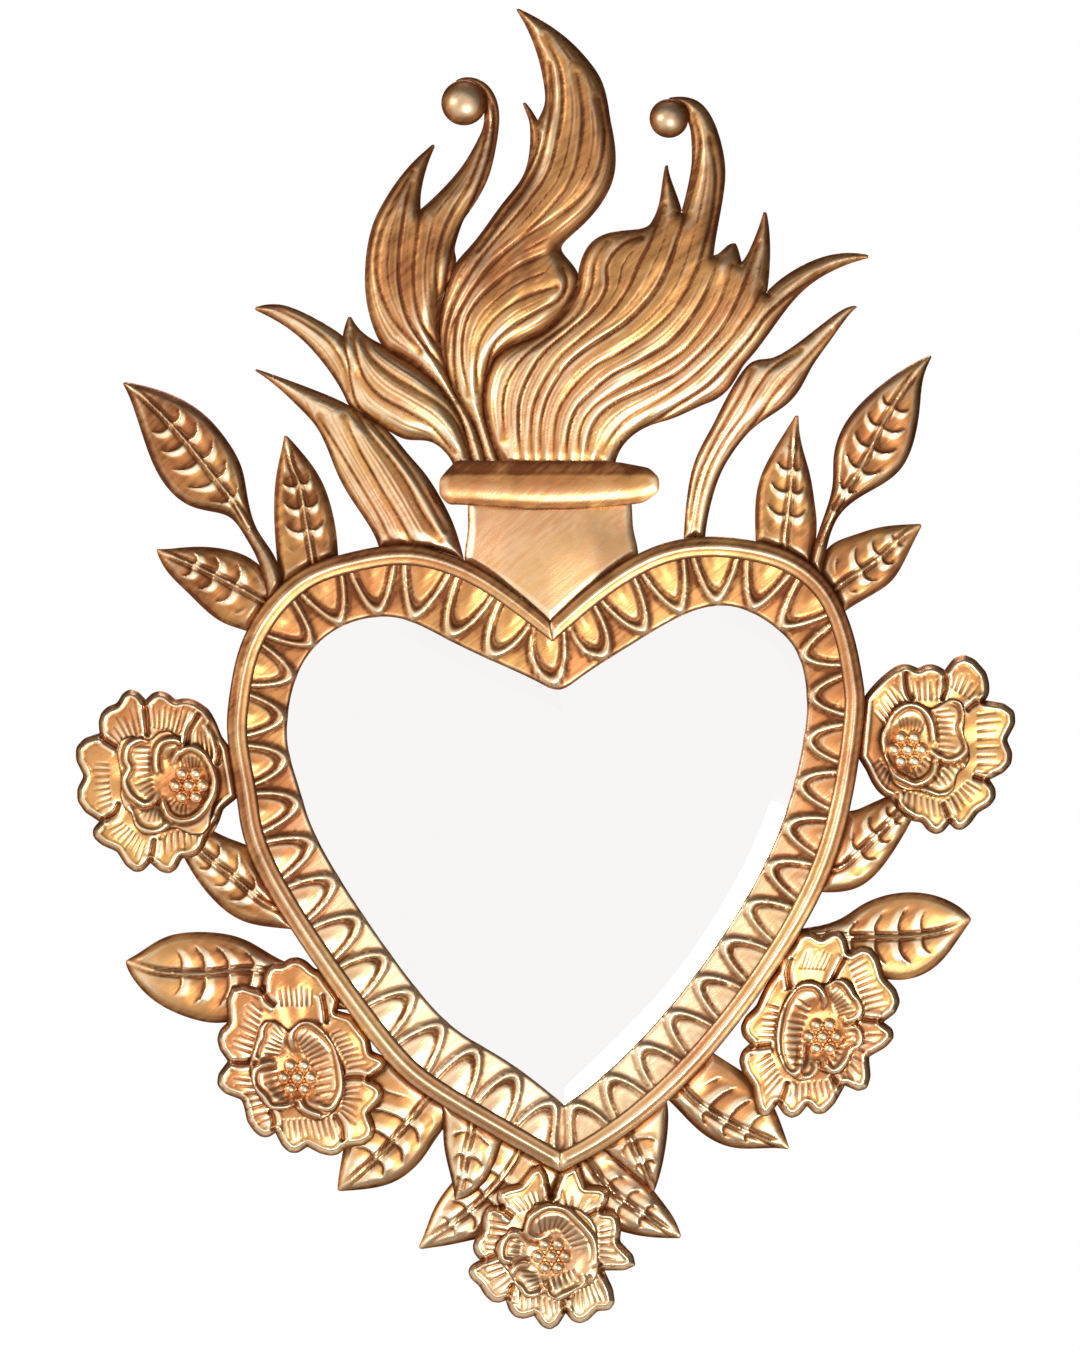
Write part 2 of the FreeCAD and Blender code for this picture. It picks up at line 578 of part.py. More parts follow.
def leaf(edge_lift, one_edge, midrib, other_edge):
    """Leaf folded along its midrib, which sinks to the edges at the tip."""
    tip = midrib[-1:]
    edges = blunt(one_edge + tip, other_edge + tip)
    last = len(midrib) - 1
    fold = [at(point, edge_lift + MIDRIB * (1 - (i / last) ** 2)) for i, point in enumerate(midrib)]
    curves = [spline([at(point, edge_lift) for point in edges[0]]),
              spline(fold),
              spline([at(point, edge_lift) for point in edges[1]])]
    rises = [swell(a, b, LEAF_SWELL, LEAF_CREST) for a, b in zip(curves, curves[1:])]
    return solid(span(curves, rises))


PETAL_ROWS = (0.0, 0.35, 0.7, 1.0)


def petals(eye, outline, disc, lifts, crests):
    """Ring of fluted petals round a flat disc; the outline alternates notches and crowns."""
    notches, crowns = outline[0::2], outline[1::2]
    curves = []
    for notch in notches:
        inner = beyond(eye, notch, -disc)
        curves.append(spline([at(between(inner, notch, share), lift)
                              for share, lift in zip(PETAL_ROWS, lifts)]))
    curves.append(curves[0])
    rises = []
    for i, crown in enumerate(crowns):
        one, other = notches[i], notches[(i + 1) % len(notches)]
        push = Vector(crown[0] - (one[0] + other[0]) / 2, 0, crown[1] - (one[1] + other[1]) / 2)
        feet = [curve.getPoles()[0] for curve in (curves[i], curves[i + 1])]
        centre = at(eye, lifts[0])
        chord = (feet[0] + feet[1]) * 0.5 - centre
        bow = chord * (disc / chord.Length - 1)
        poles = len(curves[i].getPoles())
        rise = []
        for pole in range(poles):
            share = pole / (poles - 1)
            high = crests[0] * math.sin(math.pi * share) + crests[1] * share
            rise.append(bow * (1 - share) + push * share ** 2 - Vector(0, high, 0))
        rises.append(rise)
    faces = span(curves, rises, start=False, sides=(False, False))
    edge = []
    for first, last, rise in zip(curves, curves[1:], rises):
        edge += [line[0] for line in ribs(first, last, rise)[:-1]]
    for depth in (0, SHEET):
        points = [point + Vector(0, depth, 0) for point in edge + edge[:1]]
        faces.append(Part.Face(Part.makePolygon(points)))
    return solid(faces)


def beads(eye, lift):
    """Stamens: turned beads standing on the disc, one in the middle of a ring."""
    profile = [Vector(radius * BEAD_R, 0, height * BEAD_R) for radius, height in BEAD_PROFILE]
    bead = Part.Face(Part.makePolygon(profile + profile[:1])).revolve(Vector(0, 0, 0), Vector(0, 0, 1), 360)
    bead.rotate(Vector(0, 0, 0), Vector(1, 0, 0), 90)
    places = [(0.0, 0.0)]
    for i in range(BEADS):
        angle = math.tau * i / BEADS
        places.append((BEAD_RING * math.sin(angle), BEAD_RING * math.cos(angle)))
    balls = []
    for x, z in places:
        ball = bead.copy()
        ball.translate(at((eye[0] + x, eye[1] + z), lift))
        balls.append(ball)
    return Part.Compound(balls)


# Flames

def aside(points, distance):
    """A line of points moved sideways, positive to the right of its run."""
    moved = []
    for i, point in enumerate(points):
        before, after = points[max(i - 1, 0)], points[min(i + 1, len(points) - 1)]
        run = (after[0] - before[0], after[1] - before[1])
        share = distance / math.hypot(*run)
        moved.append((point[0] + run[1] * share, point[1] - run[0] * share))
    return moved


def flame_place(point, left, right):
    """A point of a flame sheet, standing higher the farther it is from both edges."""
    reach = min(math.dist(point, left), math.dist(point, right))
    return at(point, FLAME_EDGE + min(FLAME_VALLEY - FLAME_EDGE, FLAME_SLOPE * reach))


def blunt(left, right):
    """Edges of a tongue with its tip opened to the blunt width."""
    middle = between(left[-1], right[-1], 0.5)
    across = (right[-2][0] - left[-2][0], right[-2][1] - left[-2][1])
    share = TIP / 2 / math.hypot(*across)
    step = (across[0] * share, across[1] * share)
    left_tip = (middle[0] - step[0], middle[1] - step[1])
    right_tip = (middle[0] + step[0], middle[1] + step[1])
    return left[:-1] + [left_tip], right[:-1] + [right_tip]


def emboss(curves):
    return [swell(a, b, FLAME_SWELL, FLAME_CREST) for a, b in zip(curves, curves[1:])]


def tongue(stems, left, right):
    """Faces of a tongue growing from the end of a sheet; its inner grooves carry on those of the sheet."""
    left, right = blunt(left, right)
    roots = [stem.getPoles()[-1] for stem in stems]
    runs = [None] + [stem.tangent(stem.LastParameter)[0] for stem in stems[1:-1]] + [None]
    width = (roots[-1] - roots[0]).Length
    curves = []
    for root, run in zip(roots, runs):
        share = (root - roots[0]).Length / width
        places = [flame_place(between(a, b, share), a, b) for a, b in zip(left, right)]
        curves.append(spline([root] + places, run))
    return span(curves, emboss(curves), start=False)


def resample(points, count):
    """A line through the points, given again by another number of them."""
    if len(points) == count:
        return points
    curve = spline([at(point, 0) for point in points])
    places = [curve.value(i / (count - 1)) for i in range(count)]
    return [(place.x, place.z) for place in places]


def flame(guides, counts, tongues=()):
    """Embossed sheet: strands between its guides, parting into tongues where the guides end."""
    rows = max(len(guide) for guide in guides)
    guides = [resample(guide, rows) for guide in guides]
    left, right = aside(guides[0], SEAM / 2), aside(guides[-1], -SEAM / 2)
    if not tongues:
        left, right = blunt(left, right)
    lines = [left] + list(guides[1:-1]) + [right]
    curves = []
    for i, count in enumerate(counts):
        for k in range(count):
            points = [between(a, b, k / count) for a, b in zip(lines[i], lines[i + 1])]
            curves.append(spline([flame_place(p, a, b) for p, a, b in zip(points, left, right)]))
    curves.append(spline([at(point, FLAME_EDGE) for point in right]))
    faces = span(curves, emboss(curves), end=not tongues)
    first = 0
    for count, (tongue_left, tongue_right) in zip(counts, tongues):
        faces += tongue(curves[first:first + count + 1], tongue_left, tongue_right)
        first += count
    return solid(faces)


def boss_post(middle, radius):
    """Room left for the ball of a scroll."""
    return Part.makeCylinder(radius + GAP, 100, Vector(middle[0], 0, middle[1]), Vector(0, -1, 0))


def boss(middle, radius):
    """Ball in a scroll: a dome of sheet."""
    outer_r = (radius ** 2 + BOSS_RISE ** 2) / (2 * BOSS_RISE)
    centre = at(middle, BOSS_LIFT + BOSS_RISE - outer_r)
    shell = Part.makeSphere(outer_r, centre).cut(Part.makeSphere(outer_r - SHEET, centre))
    room = 4 * outer_r
    back = Part.makeBox(room, room, room, at((middle[0] - room / 2, middle[1] - room / 2), BOSS_LIFT))
    return largest(shell.cut(back))


# Neck and collar

def neck():
    """Bulged sheet; its mouth is flatter and stands behind the collar."""
    curves = [spline([at(point, FLAME_EDGE) for point in edge]) for edge in (NECK_LEFT, NECK_RIGHT)]
    poles = len(curves[0].getPoles())
    rises = []
    for pole in range(poles):
        share = min(1.0, 2 * pole / (poles - 1)) ** 2
        rises.append(Vector(0, -NECK_TOP_BULGE - (NECK_BULGE - NECK_TOP_BULGE) * share, 0))
    return solid(span(curves, [rises]))


def collar():
    curves = [spline([at(point, lift) for point in line]) for line, lift in zip(COLLAR_LINES, COLLAR_LIFTS)]
    poles = len(curves[0].getPoles())
    return solid(span(curves, [[Vector(0, -crest, 0)] * poles for crest in COLLAR_CRESTS]))


# Hanger

def along_y(radius, z, back, front):
    """Upright cylinder to the wall on the hanging line, between two lifts."""
    return Part.makeCylinder(radius, front - back, Vector(0, -back, z), Vector(0, -1, 0))


def rivet_places():
    middle = PIVOT_Z - KNUCKLE_R - STRAP_DROP / 2
    return [middle - STRAP_DROP / 4, middle + STRAP_DROP / 4]


def brace():
    front = BRACE_LIFT + BRACE_T
    bar = Part.makeBox(BRACE_W, BRACE_T, BRACE_TOP - BRACE_FOOT, Vector(-BRACE_W / 2, -front, BRACE_FOOT))
    for z in rivet_places():
        bar = bar.cut(along_y(RIVET_R + RIVET_PLAY, z, 0, 2 * front))
    return bar


def pivot_lift():
    return BRACE_LIFT - KNUCKLE_R


def strap():
    pivot = Vector(-STRAP_W / 2, -pivot_lift(), PIVOT_Z)
    knuckle = Part.makeCylinder(KNUCKLE_R, STRAP_W, pivot, Vector(1, 0, 0))
    tail = Part.makeBox(STRAP_W, STRAP_T, STRAP_DROP + KNUCKLE_R,
                        Vector(-STRAP_W / 2, -BRACE_LIFT, PIVOT_Z - KNUCKLE_R - STRAP_DROP))
    bore = Part.makeCylinder(WIRE_R + GAP, STRAP_W, pivot, Vector(1, 0, 0))
    shape = knuckle.fuse(tail).cut(bore)
    for z in rivet_places():
        shape = shape.cut(along_y(RIVET_R + RIVET_PLAY, z, 0, BRACE_LIFT))
    return largest(shape.removeSplitter())


def ring():
    """D-shaped ring: a straight bar in the strap and a half round above it."""
    lift = pivot_lift()
    start, end = at((-RING_R, PIVOT_Z), lift), at((RING_R, PIVOT_Z), lift)
    bar = Part.makeCylinder(WIRE_R, 2 * RING_R, start, Vector(1, 0, 0))
    bow = Part.makeTorus(RING_R, WIRE_R, at((0, PIVOT_Z), lift), Vector(0, 1, 0))
    below = Part.makeBox(6 * RING_R, 6 * RING_R, 6 * RING_R, Vector(-3 * RING_R, -3 * RING_R,
                                                                   PIVOT_Z - 6 * RING_R))
    shape = bow.cut(below).fuse(bar)
    for corner in (start, end):
        shape = shape.fuse(Part.makeSphere(WIRE_R, corner))
    return largest(shape.removeSplitter())


def rivets():
    head_back = BRACE_LIFT - STRAP_T
    shapes = []
    for z in rivet_places():
        shank = along_y(RIVET_R, z, head_back, BRACE_LIFT + BRACE_T)
        head = along_y(RIVET_HEAD, z, head_back - RIVET_HEAD_T, head_back)
        shapes.append(largest(shank.fuse(head)))
    return Part.Compound(shapes)


# The whole mirror

def build():
    inside_heart = heart_prism(from_rim(-GAP), -5.0, 60.0)
    parts = {
        "heart_border": border(),
        "rim_left": rim(LEFT_HALF),
        "rim_right": rim(RIGHT_HALF),
        "mirror_glass": glass(),
        "backing_board": heart_prism(from_rim(SHEET + BOARD_PLAY), PLATE_T, PLATE_T + BOARD_T),
        "back_plate": heart_prism(from_rim(0), 0.0, PLATE_T),
        "neck": largest(neck().cut(inside_heart)),
        "neck_collar": collar(),
    }
    notch = [between(a, b, CENTRE_NOTCH) for a, b in zip(CENTRE_LEFT, CENTRE_RIGHT)]
    parts["flame_centre"] = flame(
        [CENTRE_LEFT, notch, CENTRE_RIGHT], CENTRE_STRANDS,
        [(CENTRE_SPUR_LEFT, CENTRE_SPUR_RIGHT), (CENTRE_TIP_LEFT, CENTRE_TIP_RIGHT)])
    left = flame(
        [LEFT_LEFT, LEFT_NOTCH, LEFT_RIGHT], LEFT_STRANDS,
        [(SPIKE_LEFT, SPIKE_RIGHT), (SCROLL_LEFT_IN, SCROLL_LEFT_OUT)])
    right = flame(RIGHT_GUIDES, RIGHT_STRANDS, RIGHT_TONGUES)
    parts["flame_left"] = largest(left.cut(boss_post(BOSS_LEFT, BOSS_LEFT_R)))
    parts["flame_right"] = largest(right.cut(boss_post(BOSS_RIGHT, BOSS_RIGHT_R)))
    parts["scroll_boss_left"] = boss(BOSS_LEFT, BOSS_LEFT_R)
    parts["scroll_boss_right"] = boss(BOSS_RIGHT, BOSS_RIGHT_R)
    parts["flame_wisps_left"] = flame(WISP_GUIDES, WISP_STRANDS, WISP_TONGUES)
    for side, edges in (("left", (STEM_LEFT_L, STEM_LEFT_R)), ("right", (STEM_RIGHT_L, STEM_RIGHT_R))):
        parts["flame_stem_" + side] = largest(flame(edges, [STEM_STRANDS]).cut(inside_heart))
    for name, shape in LEAVES.items():
        parts["leaf_" + name] = largest(leaf(*shape).cut(inside_heart))
    for name, (eye, outer, inner) in FLOWERS.items():
        outer_petals = petals(eye, outer, FLOWER_DISC, OUTER_LIFTS, OUTER_CRESTS)
        parts[f"flower_{name}_outer_petals"] = largest(outer_petals.cut(inside_heart))
        parts[f"flower_{name}_inner_petals"] = petals(eye, inner, FLOWER_DISC, INNER_LIFTS, INNER_CRESTS)
        parts[f"flower_{name}_stamens"] = beads(eye, INNER_LIFTS[0])
    parts["crest_brace"] = largest(brace().cut(inside_heart))
    parts["hanger_strap"] = strap()
    parts["hanger_ring"] = ring()
    parts["hanger_rivets"] = rivets()
    return parts


os.makedirs("parts", exist_ok=True)
for name, shape in build().items():
    shape.exportStep(f"parts/{name}.step")
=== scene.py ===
"""Looks of a heart-shaped wall mirror in embossed copper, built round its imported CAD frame."""
import itertools
import math
from collections import namedtuple

import bmesh
import bpy
import numpy as np
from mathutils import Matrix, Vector, kdtree
from mathutils.bvhtree import BVHTree
from mathutils.geometry import delaunay_2d_cdt


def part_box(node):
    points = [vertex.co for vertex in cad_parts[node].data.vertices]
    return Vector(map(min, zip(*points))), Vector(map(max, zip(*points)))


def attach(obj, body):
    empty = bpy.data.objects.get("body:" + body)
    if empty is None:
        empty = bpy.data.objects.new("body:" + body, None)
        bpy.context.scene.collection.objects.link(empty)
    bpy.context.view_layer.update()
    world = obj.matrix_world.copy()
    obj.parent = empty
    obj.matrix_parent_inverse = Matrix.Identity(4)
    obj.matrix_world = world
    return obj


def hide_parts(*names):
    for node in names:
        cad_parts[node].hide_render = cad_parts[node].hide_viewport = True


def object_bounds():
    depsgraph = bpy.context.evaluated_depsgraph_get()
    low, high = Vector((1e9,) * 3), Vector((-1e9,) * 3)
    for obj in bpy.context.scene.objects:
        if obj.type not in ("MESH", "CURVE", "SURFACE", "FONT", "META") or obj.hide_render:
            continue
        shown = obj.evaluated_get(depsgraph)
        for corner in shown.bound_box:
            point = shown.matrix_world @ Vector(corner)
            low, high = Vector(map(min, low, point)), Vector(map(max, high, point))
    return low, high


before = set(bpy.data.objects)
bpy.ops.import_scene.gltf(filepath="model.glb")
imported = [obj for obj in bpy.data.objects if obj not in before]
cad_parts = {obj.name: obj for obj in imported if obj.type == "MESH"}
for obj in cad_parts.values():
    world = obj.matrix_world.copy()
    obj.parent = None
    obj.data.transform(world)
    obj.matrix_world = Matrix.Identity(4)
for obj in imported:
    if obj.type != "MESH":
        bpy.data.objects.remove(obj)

bl_info = {
    "name": "Heart mirror in embossed copper",
    "version": (1, 0, 0),
    "blender": (4, 5, 0),
    "location": "3D View > Sidebar > Heart Mirror",
    "description": "Chases, veins and antiques the copper of a heart-shaped mirror",
    "category": "Object",
}

CAD_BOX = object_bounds()
BODY = "mirror"
MM = 0.001

LEAVES = sorted(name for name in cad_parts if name.startswith("leaf_"))
FLAMES = sorted(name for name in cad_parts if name.startswith("flame_"))
FLOWERS = sorted(name[len("flower_"):-len("_stamens")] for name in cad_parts
                 if name.endswith("_stamens"))


# Settings

def length(name, description, default):
    return bpy.props.FloatProperty(name=name, description=description, default=default, unit="LENGTH")


def power(name, description, default):
    return bpy.props.FloatProperty(name=name, description=description, default=default, unit="POWER")


def tint(name, description, default):
    return bpy.props.FloatVectorProperty(
        name=name, description=description, default=default, subtype="COLOR", size=3)


class ChasingSettings(bpy.types.PropertyGroup):
    """Sizes of the hand work on the sheets."""
    spacing: length("Mesh spacing", "Distance between points of a worked sheet", 0.95 * MM)
    border_spacing: length("Border mesh spacing", "The same for the border", 1.1 * MM)
    petal_spacing: length("Petal mesh spacing", "The same for petals", 0.8 * MM)
    sheet: length("Sheet", "Thickness of a sheet with its worked lines", 1.3 * MM)
    seam: length("Seam", "Spread of an outline that closes the play beside it", 0.55 * MM)
    line_depth: length("Line depth", "Depth of a chased line", 0.9 * MM)
    line_width: length("Line width", "Half width of a chased line", 1.1 * MM)
    roll_drop: length("Edge drop", "How far a turned edge drops", 3.0 * MM)
    roll_width: length("Edge width", "Width of a turned edge", 5.5 * MM)
    strand: length("Strand height", "How full a flame's strands are", 0.9 * MM)
    strand_width: length("Strand width", "Distance from a line at which a strand is full", 3.6 * MM)
    vein_pitch: length("Vein pitch", "Distance between the side veins of a leaf", 15.0 * MM)
    vein_depth: length("Vein depth", "Depth of a side vein", 1.5 * MM)
    slit_depth: length("Slit depth", "Depth of a petal's short slits", 0.65 * MM)
    slit_width: length("Slit width", "Half width of a petal's short slits", 0.85 * MM)
    gap_depth: length("Gap depth", "Depth of the lines between outer petals", 2.0 * MM)
    eye_lift: length("Eye lift", "How far the eye of a flower is pushed up", 2.0 * MM)
    rim_height: length("Petal rim height", "Height of a petal's rolled rim", 1.3 * MM)
    rim_width: length("Petal rim width", "Half width of a petal's rolled rim", 1.5 * MM)
    bead_radius: length("Bead radius", "Radius of a stamen's bead", 4.6 * MM)
    ring_radius: length("Ring radius", "Radius of the ring of beads in a flower's eye", 8.74 * MM)
    beads: bpy.props.IntProperty(name="Beads", description="Beads in that ring", default=6)


class FinishSettings(bpy.types.PropertyGroup):
    """Colours of the antiqued copper and the other finishes."""
    # Patina colour, which is also the colour of the painted shade on the sheets
    dark: tint("Patina", "Dark patina left in the recesses", (0.135, 0.040, 0.012))
    red: tint("Red copper", "Copper where it is redder", (0.63, 0.25, 0.090))
    gold: tint("Golden copper", "Copper where it is more golden", (0.72, 0.38, 0.130))
    # Rubbed colour, which is also the colour of the painted highlights on the sheets
    bright: tint("Rubbed copper", "Copper rubbed bright on the ridges", (0.98, 0.72, 0.46))
    silver: tint("Mirror", "Colour of the silvered glass", (0.93, 0.92, 0.905))
    specks: tint("Mirror specks", "Colour of the specks in the silver", (0.55, 0.54, 0.52))
    board: tint("Hardboard", "Colour of the backing board", (0.19, 0.10, 0.05))
    fibre: tint("Fibres", "Colour of the fibres in the board", (0.32, 0.19, 0.10))
    steel: tint("Steel", "Colour of the brace and hanger", (0.45, 0.44, 0.42))
    dull: tint("Dull steel", "Colour of the dull spots on steel", (0.16, 0.13, 0.10))


class StageSettings(bpy.types.PropertyGroup):
    """Floor, light and camera."""
    floor_drop: length("Floor drop", "Floor below the mirror", 0.13)
    floor_radius: length("Floor radius", "Radius of the floor", 0.75)
    distance: length("Camera distance", "From the wall to the camera", 4.0)
    frame_height: length("Framed height", "Height of the picture at the wall", 0.864)
    floor_dark: tint("Floor, dark", "Darkest colour of the floor", (0.80, 0.79, 0.78))
    floor_pale: tint("Floor, pale", "Palest colour of the floor", (0.84, 0.83, 0.82))
    key_power: power("Key lamp", "Power of the low front lamp", 26.0)
    fill_power: power("Fill lamp", "Power of the side lamp", 12.0)
    floor_power: power("Floor lamp", "Power of the lamp above the floor", 30.0)


# Reading a sheet of the frame

FRONT_NORMAL = -0.08        # a front face points at least this much towards the viewer
CREASE = math.radians(12)   # hollow folds sharper than this are chased lines
SHORT = 6 * MM              # shorter folds are left out
SLIVER = 20 * MM * MM       # outlines round less than this are left out
SAME = 0.05 * MM            # points of an outline closer than this are one
BACK = -0.999               # cosine of the turn where an outline runs back on itself
SAMPLE = 0.5 * MM           # between points along a fold or a line
WELD = 1e-6                 # corners of the frame's triangles this near are one
CURVE_STEP = 0.1            # between points of a drawn curve, in shares of the way to its next knot
IN_FRONT = -1.0             # a place well in front of the mirror, from which its front is probed
TINY = 1e-9                 # keeps divisions off zero


def nearest(places, samples):
    """Distance from each place to the nearest sample, and that sample's number."""
    tree = kdtree.KDTree(len(samples))
    for i, (x, z) in enumerate(samples):
        tree.insert((x, z, 0.0), i)
    tree.balance()
    found = [tree.find((x, z, 0.0)) for x, z in places]
    return np.array([f[2] for f in found]), np.array([f[1] for f in found])


def fade(value, start, end):
    """Smooth step from 0 at start to 1 at end."""
    share = np.clip((value - start) / (end - start), 0.0, 1.0)
    return share * share * (3 - 2 * share)


def bell(distance, width):
    """Bell-shaped profile, 1 in its middle."""
    return np.exp(-(distance / width) ** 2)


def between(value, rise, fall):
    """1 from the end of a rise to the start of a fall, and 0 outside them."""
    return fade(value, *rise) * (1 - fade(value, *fall))


class Fold:
    """A line along which the sheet of the frame is folded."""

    def __init__(self, edges):
        self.edges = edges
        self.length = sum((a.co - b.co).length for a, b in edges)

    def samples(self):
        points = []
        for a, b in self.edges:
            steps = max(1, math.ceil((a.co - b.co).length / SAMPLE))
            points += [a.co.lerp(b.co, i / steps) for i in range(steps + 1)]
        return np.array([(p.x, p.z) for p in points])

    def path(self):
        """The fold's longest run, as points in order."""
        links = {}
        for a, b in self.edges:
            links.setdefault(a, []).append(b)
            links.setdefault(b, []).append(a)

        def farthest(start):
            seen = {start: (0.0, None)}
            queue = [start]
            for vert in queue:
                for other in links[vert]:
                    if other not in seen:
                        seen[other] = (seen[vert][0] + (vert.co - other.co).length, vert)
                        queue.append(other)
            end = max(seen, key=lambda vert: seen[vert][0])
            run = [end]
            while seen[run[-1]][1] is not None:
                run.append(seen[run[-1]][1])
            return run

        run = farthest(farthest(self.edges[0][0])[0])
        return np.array([(vert.co.x, vert.co.z) for vert in run])


def without_spikes(loop):
    """An outline without the runs that go in along a seam and come back."""
    points = list(loop)
    i = 0
    while i < len(points) and len(points) > 3:
        one, other = points[i] - points[i - 1], points[(i + 1) % len(points)] - points[i]
        lengths = np.linalg.norm(one), np.linalg.norm(other)
        if min(lengths) < SAME or one @ other < BACK * lengths[0] * lengths[1]:
            del points[i]
            i = max(i - 2, 0)
        else:
            i += 1
    return np.array(points)


def area(loop):
    after = np.roll(loop, -1, axis=0)
    return 0.5 * np.abs((loop[:, 0] * after[:, 1] - loop[:, 1] * after[:, 0]).sum())


class Front:
    """Front of a sheet of the frame, seen flat: outline, folds and the lift of each place."""

    def __init__(self, node):
        self.mesh = bmesh.new()
        self.mesh.from_mesh(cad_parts[node].data)
        bmesh.ops.remove_doubles(self.mesh, verts=self.mesh.verts, dist=WELD)
        self.mesh.normal_update()
        self.faces = [face for face in self.mesh.faces if face.normal.y < FRONT_NORMAL]
        self.loops = self.find_loops()
        front = set(self.faces)
        within = [edge for edge in self.mesh.edges
                  if len(edge.link_faces) == 2 and front.issuperset(edge.link_faces)]
        self.creases = self.folds([edge for edge in within if edge.calc_face_angle_signed(0.0) < -CREASE])
        verts = [vert.co.copy() for vert in self.mesh.verts]
        for i, vert in enumerate(self.mesh.verts):
            vert.index = i
        self.tree = BVHTree.FromPolygons(verts, [[vert.index for vert in face.verts] for face in self.faces])

    def find_loops(self):
        """Outlines of the front, each with the sheet on its left."""
        onward = {}
        front = set(self.faces)
        for face in self.faces:
            for corner in face.loops:
                if front.isdisjoint(other for other in corner.edge.link_faces if other is not face):
                    onward.setdefault(corner.vert, []).append(corner.link_loop_next.vert)
        loops = []
        while onward:
            start = next(iter(onward))
            run = [start]
            while run[-1] in onward:
                ends = onward[run[-1]]
                run.append(ends.pop())
                if not ends:
                    del onward[run[-2]]
            points = without_spikes(np.array([(vert.co.x, vert.co.z) for vert in run[:-1]]))
            if area(points) > SLIVER:
                loops.append(points)
        return loops

    def folds(self, edges):
        """Runs of joined edges."""
        group = {}

        def top(vert):
            while group[vert] is not vert:
                vert = group[vert]
            return vert

        for edge in edges:
            for vert in edge.verts:
                group.setdefault(vert, vert)
            group[top(edge.verts[0])] = top(edge.verts[1])
        runs = {}
        for edge in edges:
            runs.setdefault(top(edge.verts[0]), []).append(tuple(edge.verts))
        return [fold for fold in map(Fold, runs.values()) if fold.length > SHORT]

    def lifts(self, places):
        """Distance of the front from the wall; places just outside take the nearest one inside."""
        found = np.full(len(places), np.nan)
        for i, (x, z) in enumerate(places):
            hit = self.tree.ray_cast(Vector((x, IN_FRONT, z)), Vector((0, 1, 0)))[0]
            if hit is not None:
                found[i] = -hit.y
        missing = np.isnan(found)
        if missing.any():
            known = np.flatnonzero(~missing)
            found[missing] = found[known[nearest(places[missing], places[known])[1]]]
        return found


class Line:
    """A run of points on the front: places are measured along it and aside from it."""

    def __init__(self, path):
        steps = np.linalg.norm(np.diff(path, axis=0), axis=1)
        reach = np.concatenate([[0.0], np.cumsum(steps)])
        self.length = reach[-1]
        self.along = np.arange(0.0, self.length, SAMPLE)
        self.points = np.column_stack([np.interp(self.along, reach, path[:, k]) for k in (0, 1)])
        self.run = np.gradient(self.points, axis=0)
        self.run /= np.linalg.norm(self.run, axis=1)[:, None]

    def measure(self, places):
        """Distance along the line and signed distance from it, left positive."""
        away, number = nearest(places, self.points)
        offset = places - self.points[number]
        run = self.run[number]
        side = np.sign(run[:, 0] * offset[:, 1] - run[:, 1] * offset[:, 0])
        ahead = (offset * run).sum(axis=1)
        return self.along[number] + ahead, side * away


def drawn(points, origin=(0.0, 0.0)):
    """A line drawn smoothly through points that are given in millimetres from an origin."""
    knots = np.array(points, float) * MM + origin
    knots = np.vstack([2 * knots[0] - knots[1], knots, 2 * knots[-1] - knots[-2]])
    path = []
    for a, b, c, d in zip(knots, knots[1:], knots[2:], knots[3:]):
        for t in np.arange(0.0, 1.0, CURVE_STEP):
            path.append(b + 0.5 * t * (c - a + t * (2 * a - 5 * b + 4 * c - d + t * (3 * (b - c) + d - a))))
    return Line(np.array(path + [knots[-2]]))


# Meshing a sheet

KEPT_TURNS = math.radians(45), math.radians(70)     # turns of an outline that start to be kept and are kept
CORNER_REACH = 2.4 * MM     # such corners are measured over this length
LEAST_POINTS = 8            # in an outline
SOFTENED = 6                # rounds in which most outlines are smoothed
CLEAR = 0.6                 # least distance of a place from an outline or fold, in spacings
BATCH = 4000                # places that are tested together
MERGED = 1e-8               # places this near are one


def resample(loop, spacing):
    """A closed outline given again by evenly spaced points."""
    closed = np.vstack([loop, loop[:1]])
    steps = np.linalg.norm(np.diff(closed, axis=0), axis=1)
    reach = np.concatenate([[0.0], np.cumsum(steps)])
    count = max(LEAST_POINTS, round(reach[-1] / spacing))
    targets = np.arange(count) * reach[-1] / count
    return np.column_stack([np.interp(targets, reach, closed[:, k]) for k in (0, 1)])


def soften(loop, rounds, reach):
    """Rounds an outline's small corners and keeps its points and notches."""
    before, after = np.roll(loop, reach, axis=0), np.roll(loop, -reach, axis=0)
    one, other = loop - before, after - loop
    turn = np.abs(np.arctan2(one[:, 0] * other[:, 1] - one[:, 1] * other[:, 0], (one * other).sum(axis=1)))
    weight = (0.5 * (1 - fade(turn, *KEPT_TURNS)))[:, None]
    for _ in range(rounds):
        loop = loop + weight * ((np.roll(loop, 1, axis=0) + np.roll(loop, -1, axis=0)) / 2 - loop)
    return loop


def spread(loop, distance):
    """An outline moved outwards."""
    run = np.roll(loop, -1, axis=0) - np.roll(loop, 1, axis=0)
    run /= np.maximum(np.linalg.norm(run, axis=1), TINY)[:, None]
    return loop + distance * np.column_stack([run[:, 1], -run[:, 0]])


def crossings(loops, z):
    """Sorted places along X where outlines cross a level."""
    found = []
    for loop in loops:
        a, b = loop, np.roll(loop, -1, axis=0)
        cut = (a[:, 1] > z) != (b[:, 1] > z)
        share = (z - a[cut, 1]) / (b[cut, 1] - a[cut, 1])
        found.append(a[cut, 0] + share * (b[cut, 0] - a[cut, 0]))
    return np.sort(np.concatenate(found))


